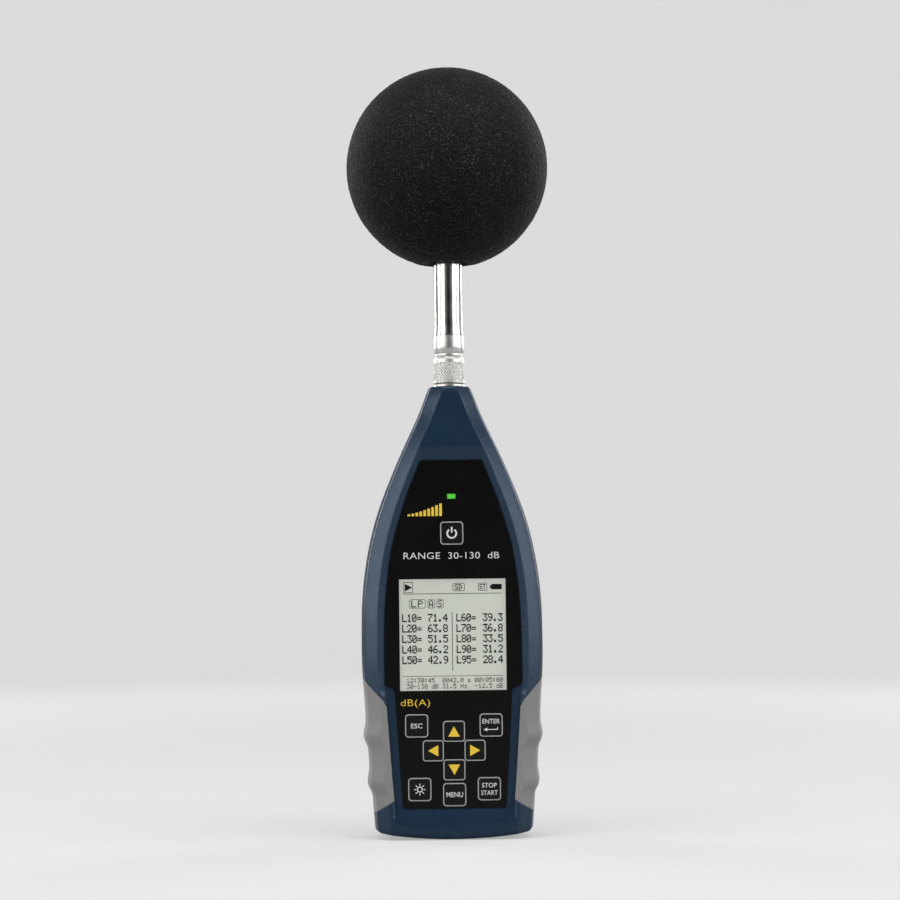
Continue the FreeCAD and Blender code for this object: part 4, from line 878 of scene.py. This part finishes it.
def status_line(dots, faint):
    """Run mark in its box, two small boxed icons and a cell."""
    left, right, bottom, top, line = -21.6, -21.6 + 4.2, 108.35, 113.1, 0.25
    dots.rect(left, right, top - line, top)
    dots.rect(left, right, bottom, bottom + line)
    dots.rect(left, left + line, bottom + line, top - line)
    dots.rect(right - line, right, bottom + line, top - line)
    dots.prism([(-21.05, 108.95), (-17.75, 110.72), (-21.05, 112.5)])
    faint.frame(0.3, 5.4, 109.1, 112.4, radius=0.6, width=0.26)
    matrix_text(faint, "SD", 1.15, 111.95, cell_x=0.28, cell_z=0.33, pitch=1.75)
    faint.frame(11.6, 15.3, 109.1, 112.4, radius=0.3, width=0.26)
    matrix_text(faint, "ST", 12.1, 111.9, cell_x=0.22, cell_z=0.32, pitch=1.45)
    dots.prism(rounded(17.2, 21.9, 109.55, 111.95, radius=0.3))
    dots.rect(16.6, 17.3, 110.2, 111.3)


def boxed_settings(faint):
    for x0, x1, text, text_x, cell_x in SETTINGS:
        faint.frame(x0, x1, 101.6, 105.4, radius=0.7, width=0.22)
        matrix_text(faint, text, text_x, 105.0, cell_x, cell_z=0.43, pitch=3.0, overlap=0.06)


def foot_lines(faint):
    matrix_text(faint, "12:30:45  0042.0 s 00:05:00", -20.6, 70.75, **FOOT_TYPE)
    matrix_text(faint, "30-130 dB 31.5 Hz  -12.5 dB", -20.6, 68.15, **FOOT_TYPE)


def display_marks():
    glass_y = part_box("lcd_glass")[0].y / MM
    dots = Sheet(glass_y - 0.02, glass_y + 0.02)
    faint = Sheet(glass_y - 0.018, glass_y + 0.02)
    readings(dots)
    rules(dots, faint)
    status_line(dots, faint)
    boxed_settings(faint)
    foot_lines(faint)
    dots.done("display_marks", "lcd_dark", "meter", "lcd_face")
    faint.done("display_marks_small", "lcd_mid", "meter", "lcd_face")


display_marks()

# ------------------------------------------------------------------------------------------
# Foam ball
# ------------------------------------------------------------------------------------------
FOAM_BORE = 6.74       # radius of the bore
FOAM_LIP = 5.0         # radius of the soft lip at its mouth
BORE_STEPS = 26
LIP_STEPS = 6
FOAM_SPACING = 0.60    # between points on the outside


def stitch(rings):
    """Closes a stack of rings of any counts. A ring lists its vertex numbers in order of
    angle; a pole is a list of one."""
    faces = []
    for lower, upper in zip(rings, rings[1:]):
        below, above = len(lower), len(upper)
        if below == 1:
            faces += [(lower[0], upper[j], upper[(j + 1) % above]) for j in range(above)]
            continue
        if above == 1:
            faces += [(lower[i], upper[0], lower[(i + 1) % below]) for i in range(below)]
            continue
        i = j = 0
        while i < below or j < above:
            a, b = lower[i % below], upper[j % above]
            if j >= above or (i < below and (i + 1) / below <= (j + 1) / above):
                i += 1
                faces.append((a, b, lower[i % below]))
            else:
                j += 1
                faces.append((a, b, upper[j % above]))
    return faces


def foam_profile(radius, centre_z, tip):
    """Stations (radius, z, point spacing) from the closed end of the bore, down it, over the
    lip and up the outside; and the number of stations before the lip."""
    profile = [(0.0, tip, 1.6), (2.2, tip, 1.6), (4.4, tip, 1.6), (6.2, tip - 0.2, 1.6),
               (FOAM_BORE, tip - 1.0, 1.6)]
    lip_r = FOAM_BORE + FOAM_LIP
    lip_z = centre_z - math.sqrt((radius - FOAM_LIP) ** 2 - lip_r ** 2)
    for i in range(1, BORE_STEPS + 1):
        profile.append((FOAM_BORE, tip - 1.0 + (lip_z - tip + 1.0) * i / BORE_STEPS,
                        1.5 if i < BORE_STEPS - 2 else 1.0))
    lip_start = len(profile)
    # The lip meets the ball at this angle below its equator.
    joint = math.atan2(lip_z - centre_z, lip_r)
    for i in range(1, LIP_STEPS + 1):
        angle = math.pi + (joint + 2 * math.pi - math.pi) * i / LIP_STEPS
        profile.append((lip_r + FOAM_LIP * math.cos(angle),
                        lip_z + FOAM_LIP * math.sin(angle), 0.66))
    count = int((math.pi / 2 - joint) * radius / FOAM_SPACING)
    for i in range(1, count):
        angle = joint + (math.pi / 2 - joint) * i / count
        profile.append((radius * math.cos(angle), centre_z + radius * math.sin(angle),
                        FOAM_SPACING))
    profile.append((0.0, centre_z + radius, FOAM_SPACING))
    return profile, lip_start


def roughen(verts, first, centre_z):
    """Pushes the points from `first` on in and out: soft swells, pores and fine grain."""
    centre = np.array([0.0, 0.0, centre_z])
    for i in range(first, len(verts)):
        point = verts[i]
        spot = Vector(point)
        outward = point - centre
        outward = outward / np.linalg.norm(outward)
        pore = min(1.0, noise.voronoi(spot * 0.62)[0][0] * 1.25)
        height = (0.10 * noise.noise(spot * 0.07) + 0.24 * (pore - 0.62)
                  + 0.10 * noise.noise(spot * 1.9))
        by_mouth = math.hypot(point[0], point[1]) < 8.2 and point[2] < centre_z
        verts[i] = point + outward * (height - 0.06) * (0.25 if by_mouth else 1.0)


def foam_ball():
    low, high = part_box("windscreen_foam")
    radius = (high.x - low.x) / 2 / MM - 0.12
    centre_z = high.z / MM - radius - 0.1
    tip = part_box("mic_grid")[1].z / MM + 0.4
    profile, lip_start = foam_profile(radius, centre_z, tip)
    verts, rings = [], []
    for k, (r, z, spacing) in enumerate(profile):
        start = len(verts)
        if r < 1e-6:
            verts.append((0.0, 0.0, z))
        else:
            sides = max(6, round(2 * math.pi * r / spacing))
            # Every other ring is turned by half a step.
            verts += circle(r, z, sides, start=(k % 2) * math.pi / sides)
        rings.append(list(range(start, len(verts))))
    verts = np.array(verts)
    roughen(verts, rings[lip_start][0], centre_z)
    foam = piece("windscreen_ball", verts * MM, stitch(rings), "foam_black", "windscreen",
                 smooth=True)
    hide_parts("windscreen_foam")


foam_ball()


# ------------------------------------------------------------------------------------------
# Lock ring: smooth rims, a turned groove and a fine diamond knurl between them
# ------------------------------------------------------------------------------------------
def lock_ring():
    sides, teeth, knurl_steps = 280, 32, 58
    knurl_depth, tooth_rise, fade_length = 0.28, 1.30, 0.25
    bore, neck = 5.62, 4.85
    low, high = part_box("coupling_nut")
    foot, top, rim = low.z / MM, high.z / MM, high.x / MM
    knurl_from, knurl_to = foot + 1.5, foot + 9.15
    knurl_height = knurl_to - knurl_from

    # Closed profile: radius, z.
    profile = [(bore, foot), (rim - 0.35, foot), (rim - 0.1, foot + 0.1),
               (rim, foot + 0.35), (rim, foot + 0.9), (rim - 0.2, foot + 1.1),
               (rim - 0.2, foot + 1.3), (rim - 0.05, foot + 1.45)]
    profile += [(rim, knurl_from + knurl_height * i / knurl_steps)
                for i in range(knurl_steps + 1)]
    profile += [(rim - 0.05, foot + 9.22), (rim - 0.18, foot + 9.4),
                (rim - 0.18, foot + 10.6), (rim - 0.27, foot + 11.0),
                (rim - 0.45, foot + 11.4), (rim - 0.7, foot + 11.85), (rim - 0.95, top),
                (neck, top), (neck, foot + 10.2), (bore, foot + 9.8), (bore, foot + 4.9)]

    def cut(j, z):
        """Depth of the knurl: two sets of slanting grooves that fade at both ends."""
        turn, rise = teeth * j / sides, (z - knurl_from) / tooth_rise
        off_groove = min(abs(slant - round(slant)) * 2 for slant in (turn + rise, turn - rise))
        fade = min(1.0, (z - knurl_from) / fade_length, (knurl_to - z) / fade_length)
        return knurl_depth * (1.0 - min(1.0, 2.2 * off_groove)) * max(0.0, fade)

    verts = []
    for r, z in profile:
        knurled = knurl_from - 1e-6 <= z <= knurl_to + 1e-6 and r > rim - 1e-6
        for j in range(sides):
            angle = 2 * math.pi * j / sides
            radius = r - cut(j, z) if knurled else r
            verts.append((radius * math.cos(angle), radius * math.sin(angle), z))
    ring = piece("lock_ring_knurled", np.array(verts) * MM, hoop_faces(len(profile), sides),
                 "nickel_satin", "lock_ring", smooth=True, angle=32)
    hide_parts("coupling_nut")


lock_ring()


# ------------------------------------------------------------------------------------------
# Snap domes: ring-shaped spring discs on the display board, one behind each key; the key's
# plunger travels through the opening
# ------------------------------------------------------------------------------------------
def snap_domes():
    sides = 48
    # Closed profile: radius, distance towards the front.
    profile = ((2.15, 0.17), (2.88, 0.0), (3.0, 0.0), (3.0, 0.05), (2.15, 0.25))
    board_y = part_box("snap_domes")[1].y / MM
    slot = slot_of["snap_domes"]
    verts, faces = [], []
    for x, z, _ in KEY_AT.values():
        faces += hoop_faces(len(profile), sides, first=len(verts))
        for radius, lift in profile:
            verts += [(x + across, board_y - lift, z + up)
                      for across, up, _ in circle(radius, 0.0, sides)]
    discs = piece("snap_dome_rings", np.array(verts) * MM, faces, slot, "meter",
                  smooth=True, angle=30)
    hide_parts("snap_domes")


snap_domes()


# ------------------------------------------------------------------------------------------
# Blank rating plate on the back: printed frame and ruled fields, no wording
# ------------------------------------------------------------------------------------------
def rating_plate():
    frame_inset, rule_inset = 1.2, 3.0
    first_rule, rule_pitch, rule_width = 4.2, 3.9, 0.18
    low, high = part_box("rear_label")
    x0, x1, z0, z1 = low.x / MM, high.x / MM, low.z / MM, high.z / MM
    plate = Sheet(high.y / MM + 0.02, high.y / MM - 0.02)
    plate.frame(x0 + frame_inset, x1 - frame_inset, z0 + frame_inset, z1 - frame_inset,
                radius=0.8, width=0.25)
    for i in range(4):
        bottom = z0 + first_rule + rule_pitch * i
        plate.rect(x0 + rule_inset, x1 - rule_inset, bottom, bottom + rule_width)
    plate.done("rear_label_rules", "ink_dark", "meter", "label_silver")


rating_plate()


# ------------------------------------------------------------------------------------------
# Studio: pale seamless floor, soft boxes, and a dark card behind the camera
# ------------------------------------------------------------------------------------------
def matt_surface(name, grey):
    material = bpy.data.materials.new(name)
    material.use_nodes = True
    bsdf = material.node_tree.nodes["Principled BSDF"]
    bsdf.inputs["Base Color"].default_value = (grey, grey, grey, 1.0)
    bsdf.inputs["Roughness"].default_value = 0.85
    bsdf.inputs["Specular IOR Level"].default_value = 0.1
    return material


def set_ramp(ramp, interpolation, low, high, to_low, to_high):
    ramp.interpolation_type = interpolation
    ramp.inputs["From Min"].default_value = low
    ramp.inputs["From Max"].default_value = high
    ramp.inputs["To Min"].default_value = to_low
    ramp.inputs["To Max"].default_value = to_high


def add_glow(material, strength):
    """A glow that only the camera sees, weaker near the Z axis."""
    tree = material.node_tree
    add, link = tree.nodes.new, tree.links.new
    bsdf = tree.nodes["Principled BSDF"]
    seen = add("ShaderNodeLightPath").outputs["Is Camera Ray"]
    lift = add("ShaderNodeMath")
    lift.operation = "MULTIPLY"
    lift.inputs[1].default_value = strength
    link(seen, lift.inputs[0])
    flat = add("ShaderNodeVectorMath")
    flat.operation = "MULTIPLY"
    flat.inputs[1].default_value = (1.0, 1.0, 0.0)
    link(add("ShaderNodeNewGeometry").outputs["Position"], flat.inputs[0])
    distance = add("ShaderNodeVectorMath")
    distance.operation = "LENGTH"
    link(flat.outputs[0], distance.inputs[0])
    rise = add("ShaderNodeMapRange")
    set_ramp(rise, "SMOOTHERSTEP", low=0.5, high=2.1, to_low=0.62, to_high=1.0)
    link(distance.outputs["Value"], rise.inputs["Value"])
    both = add("ShaderNodeMath")
    both.operation = "MULTIPLY"
    link(lift.outputs[0], both.inputs[0])
    link(rise.outputs[0], both.inputs[1])
    link(both.outputs[0], bsdf.inputs["Emission Strength"])
    bsdf.inputs["Emission Color"].default_value = (1.0, 1.0, 1.0, 1.0)


def studio_floor():
    """A round floor that curves up into a wall."""
    sides, flat, cove = 96, 2.4, 1.2
    wall = flat + cove
    profile = [(0.6, 0.0), (1.4, 0.0), (flat, 0.0)]
    for degrees in range(10, 91, 10):
        angle = math.radians(degrees)
        profile.append((flat + cove * math.sin(angle), cove - cove * math.cos(angle)))
    profile += [(wall, 2.4), (wall, 4.2)]
    verts = [(0.0, 0.0, 0.0)]
    for r, z in profile:
        verts += circle(r, z, sides)
    faces = [(0, 1 + j, 1 + (j + 1) % sides) for j in range(sides)]
    for i in range(len(profile) - 1):
        a = 1 + i * sides
        b = a + sides
        for j in range(sides):
            k = (j + 1) % sides
            faces.append((a + j, b + j, b + k, a + k))
    mesh = bpy.data.meshes.new("studio_floor")
    mesh.from_pydata(verts, [], faces)
    mesh.shade_smooth()
    floor = bpy.data.objects.new("studio_floor", mesh)
    floor.location = (0, 0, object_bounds()[0].z - 0.0002)
    COLLECTION.objects.link(floor)
    paper = matt_surface("studio_paper", 0.36)
    add_glow(paper, strength=0.62)
    mesh.materials.append(paper)
    floor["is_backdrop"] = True


def studio_world():
    """White surroundings, brighter below the horizon than above."""
    world = bpy.data.worlds.new("studio")
    SCENE.world = world
    world.use_nodes = True
    add, link = world.node_tree.nodes.new, world.node_tree.links.new
    background = world.node_tree.nodes["Background"]
    background.inputs[0].default_value = (1.0, 1.0, 1.0, 1.0)
    coordinates = add("ShaderNodeTexCoord")
    axes = add("ShaderNodeSeparateXYZ")
    ramp = add("ShaderNodeMapRange")
    link(coordinates.outputs["Generated"], axes.inputs[0])
    link(axes.outputs[2], ramp.inputs["Value"])
    set_ramp(ramp, "SMOOTHSTEP", low=-0.35, high=0.02, to_low=0.34, to_high=0.11)
    link(ramp.outputs[0], background.inputs[1])


def aim_at(item, target):
    """Turns an object's -Z towards a target."""
    item.rotation_mode = "QUATERNION"
    direction = Vector(target) - Vector(item.location)
    item.rotation_quaternion = direction.to_track_quat("-Z", "Y")


def soft_box(name, at, aim_z, wide, tall, power, colour=(1, 1, 1)):
    light = bpy.data.lights.new(name, "AREA")
    light.shape = "RECTANGLE"
    light.size = wide
    light.size_y = tall
    light.energy = power
    light.color = colour
    item = bpy.data.objects.new(name, light)
    item.location = at
    aim_at(item, (0, 0, aim_z))
    COLLECTION.objects.link(item)


def studio_lights():
    soft_box("box_left", at=(-1.15, -1.05, 0.74), aim_z=0.18, wide=0.9, tall=1.2, power=8.6,
             colour=(1.0, 0.99, 0.98))
    soft_box("box_right", at=(1.15, -1.0, 0.72), aim_z=0.18, wide=0.8, tall=1.2, power=8.0,
             colour=(0.98, 0.99, 1.0))
    soft_box("box_top", at=(0.0, -0.55, 1.9), aim_z=0.15, wide=1.5, tall=1.2, power=25.0)
    sides = (("left", -1), ("right", 1))
    for side, sign in sides:
        soft_box("box_side_" + side, at=(sign * 1.5, -0.16, 0.56), aim_z=0.20,
                 wide=0.50, tall=1.1, power=5.6)
    for side, sign in sides:
        soft_box("box_back_" + side, at=(sign * 1.15, 1.15, 0.68), aim_z=0.2,
                 wide=0.6, tall=1.1, power=10.0)


def dark_card():
    """Upright card behind the camera, seen only in reflections."""
    half_width, bottom, top, y = 0.33, -0.2, 1.6, -1.75
    mesh = bpy.data.meshes.new("dark_card")
    corners = [(-half_width, y, bottom), (half_width, y, bottom),
               (half_width, y, top), (-half_width, y, top)]
    mesh.from_pydata(corners, [], [(0, 1, 2, 3)])
    card = bpy.data.objects.new("dark_card", mesh)
    COLLECTION.objects.link(card)
    mesh.materials.append(matt_surface("card_black", 0.004))
    card.visible_camera = False
    card.visible_diffuse = False
    card.visible_shadow = False
    card.visible_transmission = False
    card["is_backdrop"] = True


def studio_camera():
    distance, height, aim_height = 1.25, 0.110, 0.172
    view_width = 0.402  # width in view at the camera's distance
    azimuth, roll = math.radians(-1.5), math.radians(-0.65)
    camera = bpy.data.cameras.new("camera")
    camera.sensor_width = 36.0
    camera.lens = 36.0 * distance / view_width
    camera.clip_start = 0.05
    camera.clip_end = 20.0
    eye = bpy.data.objects.new("camera", camera)
    COLLECTION.objects.link(eye)
    eye.location = (distance * math.sin(azimuth), -distance * math.cos(azimuth), height)
    aim_at(eye, (0, 0, aim_height))
    eye.rotation_quaternion = eye.rotation_quaternion @ Quaternion((0, 0, 1), roll)
    SCENE.camera = eye
    SCENE.view_settings.view_transform = "Standard"
    SCENE.view_settings.look = "None"
    SCENE.view_settings.exposure = 0.0


studio_floor()
studio_world()
studio_lights()
dark_card()
studio_camera()
